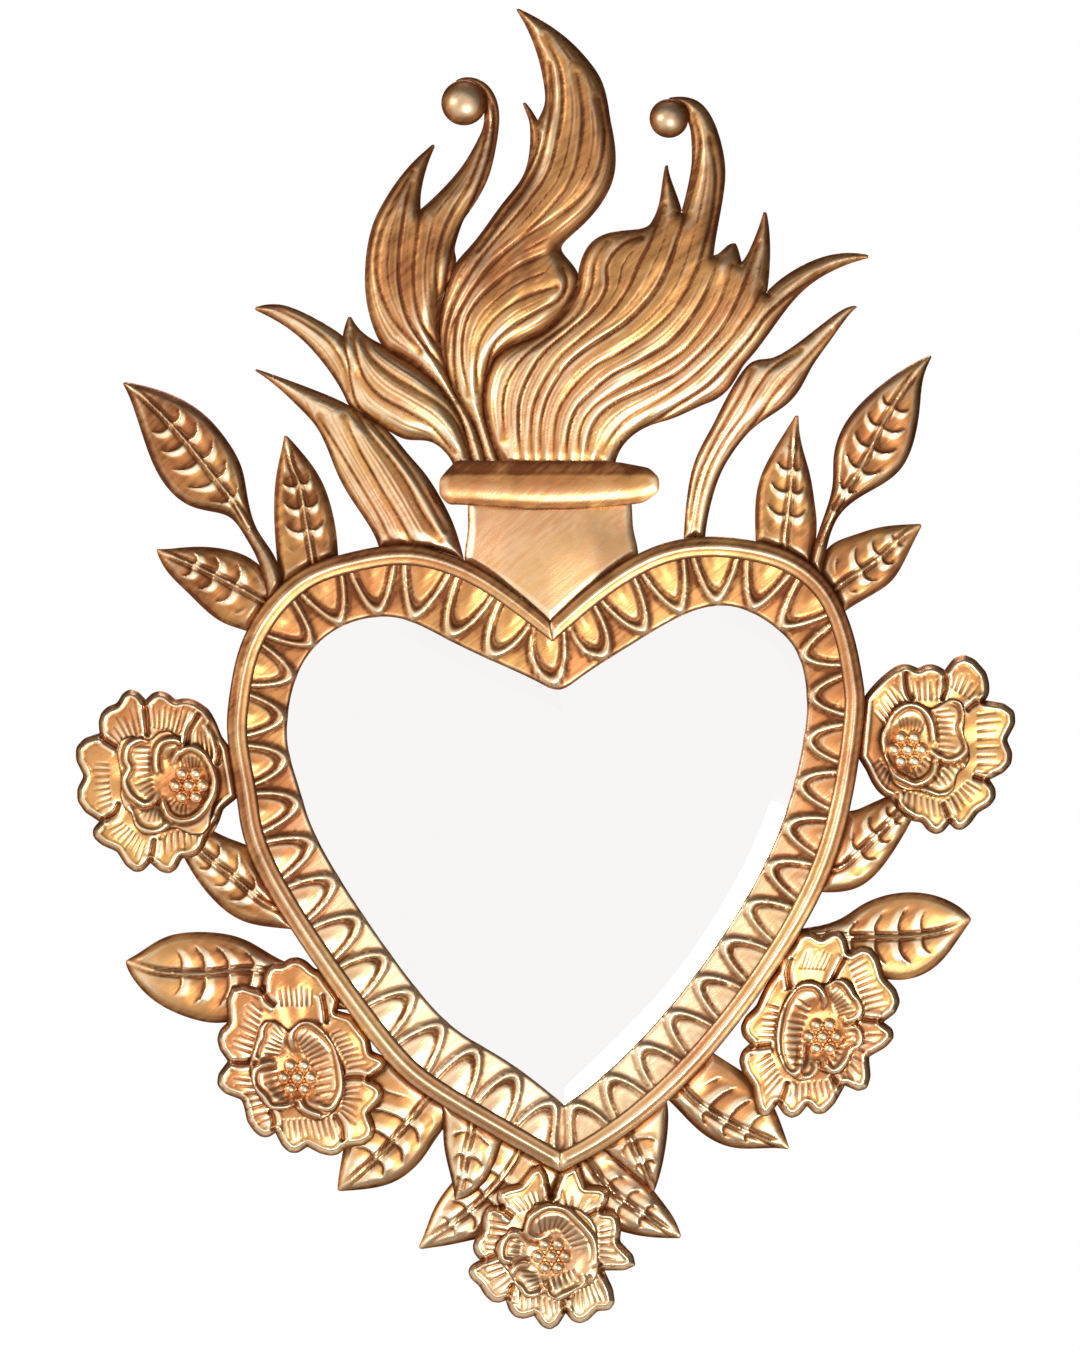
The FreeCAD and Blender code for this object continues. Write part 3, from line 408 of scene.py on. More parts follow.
def inside(loops, places):
    """Which places lie inside the outlines."""
    odd = np.zeros(len(places), bool)
    for loop in loops:
        a, b = loop, np.roll(loop, -1, axis=0)
        for first in range(0, len(places), BATCH):
            x = places[first:first + BATCH, 0, None]
            z = places[first:first + BATCH, 1, None]
            cut = (a[None, :, 1] > z) != (b[None, :, 1] > z)
            rise = np.where(cut, b[None, :, 1] - a[None, :, 1], 1.0)
            at_x = a[None, :, 0] + (z - a[None, :, 1]) / rise * (b[None, :, 0] - a[None, :, 0])
            odd[first:first + BATCH] ^= ((cut & (at_x > x)).sum(axis=1) % 2).astype(bool)
    return odd


def hexagons(loops, spacing):
    """Evenly packed places inside outlines."""
    levels = np.concatenate([loop[:, 1] for loop in loops])
    row = spacing * math.sqrt(3) / 2
    places = []
    for k, z in enumerate(np.arange(levels.min() + row / 2, levels.max(), row)):
        ends = crossings(loops, z)
        for start, end in zip(ends[0::2], ends[1::2]):
            first = math.ceil(start / spacing) + 0.5 * (k % 2)
            places += [(x, z) for x in np.arange(first * spacing, end, spacing)]
    return np.array(places)


def thin_out(places, spacing):
    """Places no closer together than about half a spacing."""
    cells = {}
    for place in places:
        cells.setdefault((round(place[0] / spacing), round(place[1] / spacing)), place)
    return np.array(list(cells.values()))


BLUR = 0.7                  # share of the way to its neighbours' mean that a place moves in a round
STROKE_TAPER = 0.12         # share of a chased line's length in which it runs out
BURR_HEIGHT = 0.4           # of the burr beside a chased line, in depths of the line
BURR_PLACE = 2.2            # its distance from the line, in half widths of the line
BURR_WIDTH = 1.3            # its half width, in the same
SLIT_LOSS = 0.6             # share of its depth that a slit loses on its way
ROLLED_TAPER = 0.08         # share of a rolled rim's length in which it runs out
ROLLED_STEP = 0.7           # step down beside a rolled rim, in heights of the rim
ROLLED_GROOVE = 0.4         # groove on its other side, in the same
ROLLED_BESIDE = 2.0         # distance of both from it, in half widths of the rim
ROLLED_GROOVE_WIDTH = 0.8   # half width of the groove, in the same
SHARP = math.radians(55)    # edges of a piece sharper than this aren't shaded smoothly
BACK_DARK = 0.45            # patina on the back of a sheet

# How dark and how rubbed a sheet is by its hollows and ridges, first for fine work and then for broad work:
# rounds of blurring that tell such work apart, depth that is dark, heights between which it is rubbed, and
# how much is added to the patina and to the rubbing
Work = namedtuple("Work", "rounds hollow ridge dark rubbed")
WORKS = (Work(4, 0.16 * MM, (0.01 * MM, 0.12 * MM), 0.75, 0.8),
         Work(45, 1.1 * MM, (0.1 * MM, 1.0 * MM), 0.6, 0.5))

# And painted shade and painted light by where it is: axis of the front (0 is X and 1 is Z), places where a
# trend starts and ends, and what it adds to both
Trend = namedtuple("Trend", "axis start end dark rubbed")
PAINTED_LIGHT_TRENDS = (Trend(1, -0.42, 0.0, 0.26, -0.15),        # painted shade, darker up to the top of the heart
          Trend(0, 0.0, -0.25, 0.13, 0.0),          # painted shade, darker towards the left
          Trend(1, -0.36, -0.46, -0.15, 0.35))      # painted light, pale and rubbed bright at the foot
BASE_DARK = -0.14           # what both start from
BASE_RUBBED = 0.15


class Sheet:
    """A worked sheet: flat places, their lift, and how dark or bright each one is."""

    def __init__(self, node, spacing, softened=SOFTENED):
        settings = bpy.context.scene.chasing
        self.node = node
        self.front = Front(node)
        rounding = max(2, round(CORNER_REACH / spacing))
        self.loops = []
        for loop in self.front.loops:
            loop = soften(resample(loop, spacing), softened, rounding)
            self.loops.append(spread(loop, settings.seam))
        self.rim = np.vstack(self.loops)
        points = [self.rim]
        if self.front.creases:
            on_folds = thin_out(np.vstack([fold.samples() for fold in self.front.creases]), spacing)
            on_folds = on_folds[inside(self.loops, on_folds)]
            points.append(on_folds[nearest(on_folds, self.rim)[0] > CLEAR * spacing])
        grid = hexagons(self.loops, spacing)
        points.append(grid[nearest(grid, np.vstack(points))[0] > CLEAR * spacing])
        self.triangulate(np.vstack(points))
        self.lift = self.front.lifts(self.plan)
        self.margin = nearest(self.plan, self.rim)[0]

    def triangulate(self, points):
        edges, first = [], 0
        for loop in self.loops:
            count = len(loop)
            edges += [(first + i, first + (i + 1) % count) for i in range(count)]
            first += count
        result = delaunay_2d_cdt([Vector(point) for point in points], edges, [], 0, MERGED)
        plan = np.array([(vert.x, vert.y) for vert in result[0]])
        faces = np.array(result[2])
        faces = faces[inside(self.loops, plan[faces].mean(axis=1))]
        used = np.unique(faces)
        number = np.full(len(plan), -1)
        number[used] = np.arange(len(used))
        self.plan, self.faces = plan[used], number[faces]
        self.sides = np.vstack([self.faces[:, [0, 1]], self.faces[:, [1, 2]], self.faces[:, [2, 0]]])
        self.pairs = np.unique(np.sort(self.sides, axis=1), axis=0)
        self.degree = np.bincount(self.pairs.ravel(), minlength=len(self.plan))

    def neighbours(self, values):
        """Mean of the places joined to each place."""
        a, b = self.pairs[:, 0], self.pairs[:, 1]
        total = np.bincount(a, values[b], len(values)) + np.bincount(b, values[a], len(values))
        return total / self.degree

    def blur(self, values, rounds):
        for _ in range(rounds):
            values = values + BLUR * (self.neighbours(values) - values)
        return values

    def flatten(self, rounds):
        """Leaves only the broad shape of the frame."""
        self.lift = self.blur(self.lift, rounds)

    def near_edge(self, width):
        return 1 - fade(self.margin, 0.0, width)

    def beside(self, line, taper):
        """Distance aside from a line, and the strength of a stroke along it, which runs out at both ends."""
        along, aside = line.measure(self.plan)
        return aside, between(along / line.length, (0.0, taper), (1 - taper, 1.0))

    def stroke(self, line, depth, width):
        """Chases one drawn line, with its burr on the left."""
        aside, strength = self.beside(line, STROKE_TAPER)
        burr = BURR_HEIGHT * bell(aside - BURR_PLACE * width, BURR_WIDTH * width)
        self.lift += depth * strength * (burr - bell(aside, width))

    def rolled_rim(self, line, height, width):
        """A rolled rim along a line, with a step down on its right and a fine groove on its left."""
        aside, strength = self.beside(line, ROLLED_TAPER)
        step = ROLLED_STEP * bell(aside + ROLLED_BESIDE * width, width)
        groove = ROLLED_GROOVE * bell(aside - ROLLED_BESIDE * width, ROLLED_GROOVE_WIDTH * width)
        self.lift += height * strength * (bell(aside, width) - step - groove)

    def roll(self, drop, width):
        """Turns the edge back, no further than the wall."""
        share = np.clip(1 - self.margin / width, 0.0, 1.0)
        room = np.maximum(self.lift - bpy.context.scene.chasing.sheet, 0.0)
        self.lift -= np.minimum(drop, room) * share ** 2

    def slit(self, start, end, depth, width):
        """A short straight slit, deepest at its start."""
        run = end - start
        share = np.clip(((self.plan - start) @ run) / (run @ run), 0.0, 1.0)
        away = np.linalg.norm(self.plan - start - share[:, None] * run, axis=1)
        self.lift -= depth * (1 - SLIT_LOSS * share) * bell(away, width)

    def tones(self, patina, tarnish_and_shade, polish_and_highlight):
        """How dark and how rubbed each place is: patina and rubbing, plus the painted shade and painted
        highlights that are given and that come from the trends.
        """
        dark = BASE_DARK + tarnish_and_shade
        rubbed = BASE_RUBBED + polish_and_highlight
        for work in WORKS:
            proud = self.lift - self.blur(self.lift, work.rounds)
            dark = dark + patina * work.dark * fade(-proud, 0.0, work.hollow)
            rubbed = rubbed + work.rubbed * fade(proud, *work.ridge)
        # Painted shade towards the top and the left, painted light at the foot
        for trend in PAINTED_LIGHT_TRENDS:
            share = fade(self.plan[:, trend.axis], trend.start, trend.end)
            dark = dark + trend.dark * share
            rubbed = rubbed + trend.rubbed * share
        return np.clip(dark, 0, 1), np.clip(rubbed, 0, 1)

    def finish(self, name, material, slot, patina, tarnish_and_shade, polish_and_highlight, back=None):
        """Closes the sheet into a solid piece and rides it on the mirror."""
        count = len(self.plan)
        behind = self.lift - bpy.context.scene.chasing.sheet if back is None else np.full(count, back)
        verts = np.vstack([np.column_stack([self.plan[:, 0], -lift, self.plan[:, 1]])
                           for lift in (self.lift, behind)])
        keys = self.sides.min(axis=1) * count + self.sides.max(axis=1)
        number, times = np.unique(keys, return_inverse=True, return_counts=True)[1:]
        border = self.sides[times[number] == 1]
        walls = np.column_stack([border[:, 1], border[:, 0], border[:, 0] + count, border[:, 1] + count])
        faces = self.faces.tolist() + (self.faces[:, ::-1] + count).tolist() + walls.tolist()
        mesh = bpy.data.meshes.new(name)
        mesh.from_pydata(verts.tolist(), [], faces)
        dark, rubbed = self.tones(patina, tarnish_and_shade, polish_and_highlight)
        for key, in_front, at_back in (("dark", dark, BACK_DARK), ("shine", rubbed, 0.0)):
            values = np.concatenate([in_front, np.full(count, at_back)])
            layer = mesh.attributes.new(key, "FLOAT", "POINT")
            layer.data.foreach_set("value", values.astype(np.float32))
        mesh.materials.append(material)
        mesh.polygons.foreach_set("use_smooth", np.ones(len(mesh.polygons), bool))
        mesh.set_sharp_from_angle(angle=SHARP)
        piece = bpy.data.objects.new(name, mesh)
        bpy.context.scene.collection.objects.link(piece)
        self.front.mesh.free()
        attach(piece, BODY)
        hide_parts(self.node)


# Shaders

# Noises: scale per metre, detail and roughness
CLOUD = 14.0, 4.0, 0.55         # from red copper to golden copper
MOTTLE = 75.0, 4.0, 0.6         # small spots of patina
PATCHES = 34.0, 3.0, 0.55       # broad patches of it
GRAIN = 900.0, 2.0, 0.55
BRUSH = 330.0, 3.0, 0.6         # brush marks
PLAIN_PATINA = 30.0, 5.0, 0.65  # on copper that isn't worked
PLAIN_SHINE = 45.0, 3.0, 0.55
WAVES = 9.0, 2.0, 0.55          # of the glass
SPECKS = 420.0, 2.0, 0.55       # in its silver
FIBRES = 600.0, 5.0, 0.7
SPOTS = 160.0, 5.0, 0.65        # on steel
SCRATCHES = 1400.0, 2.0, 0.55
FLOOR_TONES = 3.0, 3.0, 0.55
BRUSH_SLANT = math.radians(50)
BRUSH_LENGTH = 12.0             # of a brush mark, in widths


class Tone:
    """A socket of a shader tree. Arithmetic on it adds Math nodes."""

    def __init__(self, shader, socket):
        self.shader = shader
        self.socket = socket

    def math(self, operation, *values):
        return self.shader.node("ShaderNodeMath", {"operation": operation}, dict(enumerate(values)))

    def __add__(self, other):
        return self.math("ADD", self, other)

    def __sub__(self, other):
        return self.math("SUBTRACT", self, other)

    def __mul__(self, other):
        return self.math("MULTIPLY", self, other)

    def __rsub__(self, other):
        return self.math("SUBTRACT", other, self)

    __radd__, __rmul__ = __add__, __mul__

    def clamp(self):
        return self.shader.node("ShaderNodeClamp", {}, {0: self})

    def swing(self, reach):
        """A noise that lies between 0 and 1, moved to lie evenly about zero."""
        return (self - 0.5) * reach

    def step(self, start, end):
        return self.shader.node("ShaderNodeMapRange", {"interpolation_type": "SMOOTHSTEP"},
                                {0: self, 1: start, 2: end, 3: 0.0, 4: 1.0})


class Shader:
    """Builder of one material's or the world's node tree."""

    def __init__(self, owner):
        owner.use_nodes = True
        self.tree = owner.node_tree
        self.tree.nodes.clear()

    def node(self, kind, settings=None, values=None, output=0):
        made = self.tree.nodes.new(kind)
        for key, value in (settings or {}).items():
            setattr(made, key, value)
        for key, value in (values or {}).items():
            if isinstance(value, Tone):
                self.tree.links.new(value.socket, made.inputs[key])
            else:
                made.inputs[key].default_value = value
        return Tone(self, made.outputs[output]) if made.outputs else None

    def place(self):
        return self.node("ShaderNodeTexCoord", output="Object")

    def noise(self, scale, detail, roughness, place=None):
        return self.node("ShaderNodeTexNoise", {"normalize": True}, {
            "Vector": place or self.place(), "Scale": scale, "Detail": detail, "Roughness": roughness})

    def brush_marks(self):
        """Noise drawn out into marks that slant across the front."""
        drawn_out = self.node("ShaderNodeMapping", {"vector_type": "TEXTURE"}, {
            "Vector": self.place(), "Rotation": (0.0, BRUSH_SLANT, 0.0), "Scale": (1.0, 1.0, BRUSH_LENGTH)})
        return self.noise(*BRUSH, place=drawn_out)

    def mix(self, share, one, other):
        return self.node("ShaderNodeMix", {"data_type": "RGBA"}, {0: share, 6: one, 7: other}, output=2)

    def bump(self, height, strength, distance, under=None):
        values = {"Strength": strength, "Distance": distance, "Height": height}
        if under:
            values["Normal"] = under
        return self.node("ShaderNodeBump", {}, values)

    def surface(self, **values):
        named = {key.replace("_", " ").title(): value for key, value in values.items()}
        shaded = self.node("ShaderNodeBsdfPrincipled", {}, named)
        self.node("ShaderNodeOutputMaterial", {}, {"Surface": shaded})


def colour(values):
    return (*values, 1.0)


def copper(name, worked=True, rubbed=1.0, age=0.0):
    """Antiqued copper: dark in the recesses, rubbed bright on the ridges, mottled red to gold; its dark and
    shine attributes also carry painted shade and painted highlights.
    """
    finish = bpy.context.scene.finish
    material = bpy.data.materials.new(name)
    shader = Shader(material)
    cloud = shader.noise(*CLOUD).step(0.35, 0.65)
    mottle = shader.noise(*MOTTLE)
    grain = shader.noise(*GRAIN)
    brushed = shader.brush_marks().step(0.36, 0.66)
    patches = shader.noise(*PATCHES).step(0.35, 0.68)
    if worked:
        dark = shader.node("ShaderNodeAttribute", {"attribute_name": "dark"}, output="Fac")
        shine = shader.node("ShaderNodeAttribute", {"attribute_name": "shine"}, output="Fac")
    else:
        dark = shader.noise(*PLAIN_PATINA).step(0.35, 0.8) * 0.6
        shine = shader.noise(*PLAIN_SHINE).step(0.3, 0.8) * 0.5 + 0.25
    # Darkness: patina and painted shade from the dark attribute, mottled, brushed and in patches
    tarnish_and_shade = dark + mottle.swing(0.5) * (dark + 0.2) + brushed.swing(0.22) + patches.swing(0.3) + age
    tarnish_and_shade = tarnish_and_shade.clamp()
    # Brightness: rubbing and painted highlights from the shine attribute
    polish_and_highlight = (shine * rubbed * (0.65 + 0.7 * mottle) + brushed.swing(0.3) - tarnish_and_shade * 0.6).clamp()
    base = shader.mix(cloud, colour(finish.red), colour(finish.gold))
    base = shader.mix(polish_and_highlight, base, colour(finish.bright))
    base = shader.mix(tarnish_and_shade, base, colour(finish.dark))
    normal = shader.bump(brushed, 0.10, 0.3 * MM)
    normal = shader.bump(grain, 0.08, 0.3 * MM, normal)
    shader.surface(base_color=base, metallic=1.0 - tarnish_and_shade * 0.1,
                   roughness=0.28 + tarnish_and_shade * 0.2 + grain.swing(0.12) - polish_and_highlight * 0.05, normal=normal)
    return material


def mirror_silver():
    """Silvered glass, a little wavy."""
    finish = bpy.context.scene.finish
    material = bpy.data.materials.new("silvered_glass")
    shader = Shader(material)
    specks = shader.noise(*SPECKS).step(0.74, 0.80)
    shader.surface(base_color=shader.mix(specks * 0.08, colour(finish.silver), colour(finish.specks)),
                   metallic=1.0, roughness=0.02 + specks * 0.05,
                   normal=shader.bump(shader.noise(*WAVES), 0.02, 1.0 * MM))
    return material


def hardboard():
    """Brown pressed board with a fibrous face."""
    finish = bpy.context.scene.finish
    material = bpy.data.materials.new("hardboard")
    shader = Shader(material)
    fibre = shader.noise(*FIBRES)
    shader.surface(base_color=shader.mix(fibre, colour(finish.board), colour(finish.fibre)),
                   roughness=0.75 + fibre * 0.15, normal=shader.bump(fibre, 0.3, 0.3 * MM))
    return material


def steel(name, roughness):
    """Plated steel with fine scratches and dull spots."""
    finish = bpy.context.scene.finish
    material = bpy.data.materials.new(name)
    shader = Shader(material)
    spots = shader.noise(*SPOTS).step(0.45, 0.75)
    scratch = shader.noise(*SCRATCHES)
    shader.surface(base_color=shader.mix(spots * 0.6, colour(finish.steel), colour(finish.dull)),
                   metallic=1.0 - spots * 0.3, roughness=roughness + spots * 0.2 + scratch.swing(0.1),
                   normal=shader.bump(scratch, 0.15, 0.1 * MM))
    return material


# Pieces

HEART_MIDDLE = np.array([0.0, -0.17])   # on the front
TONGUES_A_SIDE = 19             # one more stands in the cleft
CLEFT_REACH = 20 * MM           # the cleft lies this near the middle
SPACED_AT = 0.55                # share of the band, from rim to window, along which they are spaced
PATH_ROUNDS = 60                # of smoothing of that path
BORDER_SOFTENED = 60            # rounds in which the border's outlines are smoothed
BORDER_ROUNDS = 2               # of blurring of its relief
BORDER_LIFTS = 10 * MM, 8 * MM  # of the ground at the rim and at the window
TONGUE_ARCHES = (               # half width in pitches, top in shares of the band, fullness and height
    (0.505, 1.03, 1.8, 0.0),            # outline of a tongue
    (0.435, 0.91, 1.9, 2.5 * MM),       # its ridge
    (0.340, 0.76, 2.0, 0.0),            # hollow inside the ridge
    (0.300, 0.69, 2.0, 1.5 * MM),       # edge of its pad
    (0.110, 0.32, 2.0, 2.2 * MM))       # top of the pad
ARCH_EDGE = 0.1                 # softness of an arch's edge in the tones
GROOVE_START = 0.05, 0.2        # of the painted shade in the groove, inside the ridge
GROOVE_END = 0.0, 0.12          # inside the pad's edge
GROOVE_DEEPENS = 0.25, 0.5      # along the band
BORDER_SHADE_HEIGHTS = -0.32, -0.05    # heights between which the border goes from painted light below to painted shade on its corners and pads above
BORDER_EDGE = 0.5, 0.4          # drop and width of its turned edges, in shares of the other sheets'


def tongue_relief(across, up):
    """Height of the tongues, and whether a place is outside them, in their groove or on their pad."""
    levels = [(np.abs(across) / half_width) ** fullness + (up / top) ** fullness - 1
              for half_width, top, fullness, _ in TONGUE_ARCHES]
    crests = [arch[-1] for arch in TONGUE_ARCHES]
    height = np.zeros(len(up))
    for k in range(1, len(levels)):
        outer, inner = levels[k - 1], levels[k]
        share = np.clip(outer / np.minimum(outer - inner, -TINY), 0.0, 1.0)
        slope = crests[k - 1] + (crests[k] - crests[k - 1]) * fade(share, 0.0, 1.0)
        height = np.where(outer < 0, slope, height)
    outline, ridge, _, pad, _ = levels
    groove = fade(-ridge, *GROOVE_START) * (1 - fade(-pad, *GROOVE_END)) * fade(up, *GROOVE_DEEPENS)
    return height, fade(outline, 0.0, ARCH_EDGE), groove, fade(-pad, 0.0, ARCH_EDGE)


def tongue_places(sheet):
    """Place of each point across its tongue and up the band, in shares of the pitch and of the band."""
    outer, window = sorted(sheet.loops, key=area, reverse=True)
    from_rim, from_window = nearest(sheet.plan, outer)[0], nearest(sheet.plan, window)[0]
    path = outer + SPACED_AT * (window[nearest(outer, window)[1]] - outer)
    for _ in range(PATH_ROUNDS):
        path = (np.roll(path, 1, axis=0) + np.roll(path, -1, axis=0)) / 2
    upper = np.flatnonzero((np.abs(outer[:, 0]) < CLEFT_REACH) & (outer[:, 1] > HEART_MIDDLE[1]))
    cleft = upper[np.argmin(outer[upper, 1])]
    foot = (np.argmin(outer[:, 1]) - cleft) % len(path)
    path = np.roll(path, -cleft, axis=0)
    halves = Line(path[:foot + 1]), Line(np.vstack([path[:1], path[:foot - 1:-1]]))
    (along, aside), (other_along, other_aside) = [half.measure(sheet.plan) for half in halves]
    pitch, other_pitch = [half.length / (TONGUES_A_SIDE + 0.5) for half in halves]
    phase = np.where(np.abs(aside) > np.abs(other_aside), other_along / other_pitch, along / pitch)
    return phase - np.round(phase), from_rim / (from_rim + from_window)


class MIRROR_OT_border(bpy.types.Operator):
    """Border round the glass: nested arches round pads, with corners between them that take painted shade
    near the top and painted light lower down
    """
    bl_idname = "mirror.border"
    bl_label = "Border"

    def execute(self, context):
        settings = context.scene.chasing
        sheet = Sheet("heart_border", settings.border_spacing, BORDER_SOFTENED)
        across, up = tongue_places(sheet)
        relief, corners, groove, pads = tongue_relief(across, up)
        ground = BORDER_LIFTS[0] + (BORDER_LIFTS[1] - BORDER_LIFTS[0]) * up
        sheet.lift = sheet.blur(ground + relief, BORDER_ROUNDS)
        sheet.roll(BORDER_EDGE[0] * settings.roll_drop, BORDER_EDGE[1] * settings.roll_width)
        # Painted shade in the grooves and on the corners and pads near the top; painted light, paler and
        # brighter, lower down
        upper = fade(sheet.plan[:, 1], *BORDER_SHADE_HEIGHTS)
        sheet.finish("border_sheet", copper("border_copper", rubbed=0.8), "border_copper", patina=0.8,
                     tarnish_and_shade=0.02 + 0.3 * corners * upper + 0.45 * groove + 0.1 * pads - 0.2 * (1 - upper),
                     polish_and_highlight=(0.35 * corners + 0.7) * (1 - upper) - 0.4 * pads * upper)
        return {"FINISHED"}


RIM_FLAT = 0.55                 # share of the rim's crown that is beaten flat
RIM_SOFTENED = 2                # rounds in which its outlines are smoothed
RIM_ROUNDS = 14                 # of blurring that leave its broad shape
RIM_SHADE_ROUNDS = 3           # of blurring of the line between its outer and inner slope, where its painted shade ends
RIM_RIDGE = 0.6 * MM            # height of the ridge along its middle
RIM_SLOPE = 0.55, 0.95          # where that ridge rises, in shares of the way from its sides to its middle
RIM_ROLL = 1.0 * MM             # drop of its edges
RIM_SHADE_HEIGHTS = -0.32, -0.1        # heights between which its outer slope gets painted shade


class MIRROR_OT_rims(bpy.types.Operator):
    """Raised rim in two lengths, with its outer wall down to the back plate"""
    bl_idname = "mirror.rims"
    bl_label = "Rim"

    def execute(self, context):
        settings = context.scene.chasing
        material = copper("rim_copper", rubbed=0.9)
        for side in ("left", "right"):
            sheet = Sheet("rim_" + side, settings.spacing, RIM_SOFTENED)
            sheet.flatten(RIM_ROUNDS)
            edge = sheet.rim[nearest(sheet.plan, sheet.rim)[1]]
            outside = ((sheet.plan - edge) * (HEART_MIDDLE - sheet.plan)).sum(axis=1) > 0
            outside = sheet.blur(outside.astype(float), RIM_SHADE_ROUNDS)
            ridge = fade(sheet.margin / sheet.margin.max(), *RIM_SLOPE)
            sheet.lift += RIM_RIDGE * ridge - RIM_FLAT * (sheet.lift - np.median(sheet.lift))
            sheet.roll(RIM_ROLL, 2 * RIM_ROLL)
            foot = -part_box("rim_" + side)[1].y
            # Painted shade on the outer slope of the upper rim, which faces up
            upper = fade(sheet.plan[:, 1], *RIM_SHADE_HEIGHTS)
            sheet.finish("rim_bead_" + side, material, "rim_copper", back=foot, patina=0.4,
                         tarnish_and_shade=0.04 + 0.5 * outside * upper, polish_and_highlight=0.5 * ridge - 0.1)
        return {"FINISHED"}


# Chased lines of the flames, each from its root, in millimetres on the front
FLAME_LINES = {
    "flame_left": [
        [(-66, 120), (-80, 137), (-91, 155), (-96, 176), (-96, 198), (-93, 221), (-89, 241)],
        [(-69, 133), (-81, 150), (-86, 166), (-87, 186), (-85, 205), (-83, 221)],
        [(-72, 163), (-72, 189), (-68, 208), (-61, 224), (-52, 239), (-45, 256), (-41, 271), (-40, 287)],
        [(-83, 134), (-99, 152), (-108, 170), (-111, 189), (-108, 208), (-100, 227), (-88, 248)],
        [(-65, 147), (-66, 173), (-63, 195), (-56, 214), (-47, 233), (-40, 252), (-36, 270), (-36, 287),
         (-42, 300)]],
    "flame_centre": [
        [(-63, 108), (-67, 125), (-67, 142), (-63, 160), (-56, 175), (-44, 193), (-28, 212), (-13, 230),
         (-1, 248), (5, 269), (8, 291), (6, 314), (-3, 334)],
        [(-58, 101), (-61, 122), (-61, 141), (-58, 157), (-49, 174), (-35, 191), (-17, 205), (4, 218),
         (22, 233), (32, 251), (35, 272), (31, 294)],
        [(-52, 106), (-56, 127), (-55, 146), (-49, 161), (-37, 174), (-22, 186), (-3, 195), (6, 200)],
        [(-46, 108), (-47, 123), (-45, 138), (-37, 152), (-24, 163), (-9, 170), (4, 174)],
        [(-41, 118), (-36, 136), (-24, 148), (-8, 158), (6, 166), (11, 177), (8, 186)],
        [(-66, 133), (-61, 152), (-52, 168), (-38, 186), (-22, 202), (-3, 221), (12, 240), (19, 262),
         (21, 287), (17, 310)],
        [(-45, 198), (-29, 221), (-15, 239), (-6, 257), (-1, 276), (1, 296), (0, 315)],
        [(-17, 246), (-10, 259), (-8, 272), (-12, 287)]],
    "flame_right": [
        [(-19, 65), (-20, 86), (-19, 102), (-13, 118), (-3, 133), (12, 146), (27, 159), (36, 173),
         (37, 189), (46, 201), (58, 206)],
        [(-12, 65), (-12, 83), (-10, 99), (-3, 115), (8, 131), (23, 144), (38, 157), (50, 173), (58, 191),
         (65, 205), (72, 227)],
        [(-6, 65), (-6, 83), (-3, 99), (4, 114), (15, 128), (31, 140), (49, 151), (64, 166), (75, 184),
         (82, 205), (88, 227), (94, 250), (96, 269), (92, 283)],
        [(2, 65), (3, 82), (6, 96), (15, 110), (28, 123), (46, 133), (64, 145), (80, 161), (91, 179),
         (98, 198), (104, 223), (106, 246), (102, 269)],
        [(10, 65), (12, 82), (17, 96), (26, 106), (40, 118), (58, 127), (76, 138), (91, 155), (101, 173),
         (107, 191)],
        [(18, 65), (19, 81), (24, 93), (33, 102), (49, 111), (68, 122), (86, 134), (100, 151), (110, 168),
         (116, 188)],
        [(23, 65), (26, 81), (32, 92), (44, 101), (61, 109), (81, 119), (97, 133), (110, 148), (120, 166),
         (127, 184), (133, 202)],
        [(32, 65), (40, 79), (50, 90), (65, 99), (86, 113), (102, 127), (116, 142), (128, 159), (136, 174)],
        [(58, 83), (78, 96), (99, 110), (114, 125), (128, 141), (138, 155), (152, 168), (172, 181)],
        [(-29, 77), (-30, 99), (-26, 116), (-15, 131), (1, 143), (17, 156), (26, 173), (29, 191),
         (36, 203)],
        [(6, 120), (22, 133), (40, 145), (56, 159), (69, 175), (78, 195), (84, 214)]],
    "flame_wisps_left": [
        [(-132, 140), (-129, 127), (-127, 112), (-122, 97), (-111, 88)],
        [(-120, 140), (-114, 129), (-101, 118), (-86, 109), (-70, 99), (-59, 86), (-52, 67)],
        [(-126, 146), (-123, 129), (-118, 115), (-108, 104), (-92, 95), (-76, 85), (-61, 69)],
        [(-173, 159), (-157, 151), (-142, 140), (-132, 124), (-128, 108)]],
    "flame_stem_left": [
        [(-131, 91), (-123, 73), (-115, 58), (-106, 42), (-96, 26), (-88, 10)],
        [(-125, 95), (-114, 79), (-101, 63), (-91, 48), (-82, 31), (-70, 13)],
        [(-147, 90), (-137, 74), (-128, 59), (-119, 44), (-109, 27), (-101, 10)],
        [(-114, 87), (-101, 72), (-88, 55), (-77, 37), (-67, 19)]],
    "flame_stem_right": [
        [(92, 8), (95, 35), (102, 58), (112, 77), (123, 93), (132, 109), (142, 122), (160, 134)],
        [(97, 8), (102, 35), (110, 58), (123, 77), (136, 95), (148, 112), (163, 128), (180, 146)],
        [(90, 26), (95, 52), (104, 73), (114, 91), (124, 109), (129, 122)]],
}


FLAME_ROUNDS = 70               # of blurring that leave their broad shape
LIGHT_FLAMES = ("flame_stem", "flame_wisps")    # worked less than the others, with less painted shade towards the top
LINE_DEPTHS = 0.45, 0.8         # of the lines on light flames and on others, in depths of a chased line
LINE_WEIGHTS = 1.0, 0.6, 0.85, 0.5      # of the lines in turn
LINE_WIDTH = 0.9                # in widths of a chased line
FINE_LINES = (0.5, 0.35), (0.3, 0.12)   # place across a strand, and depth in depths of a chased line
FINE_WIDTH = 0.7 * MM           # half width of a fine line
FINE_STRANDS = 6 * MM, 9 * MM   # widths of a strand between which its fine lines come up
FINE_ENDS = 4 * MM, 14 * MM     # distances from the ends of chased lines between which they come up
TOP_SHADES = 0.2, 0.6               # painted shade towards the top, on light flames and on others
TOP_SHADE_HEIGHTS = 0.08, 0.20             # heights between which it comes up
FLAME_EDGE_SHADE = 4.5 * MM           # width of the painted shade along the edge
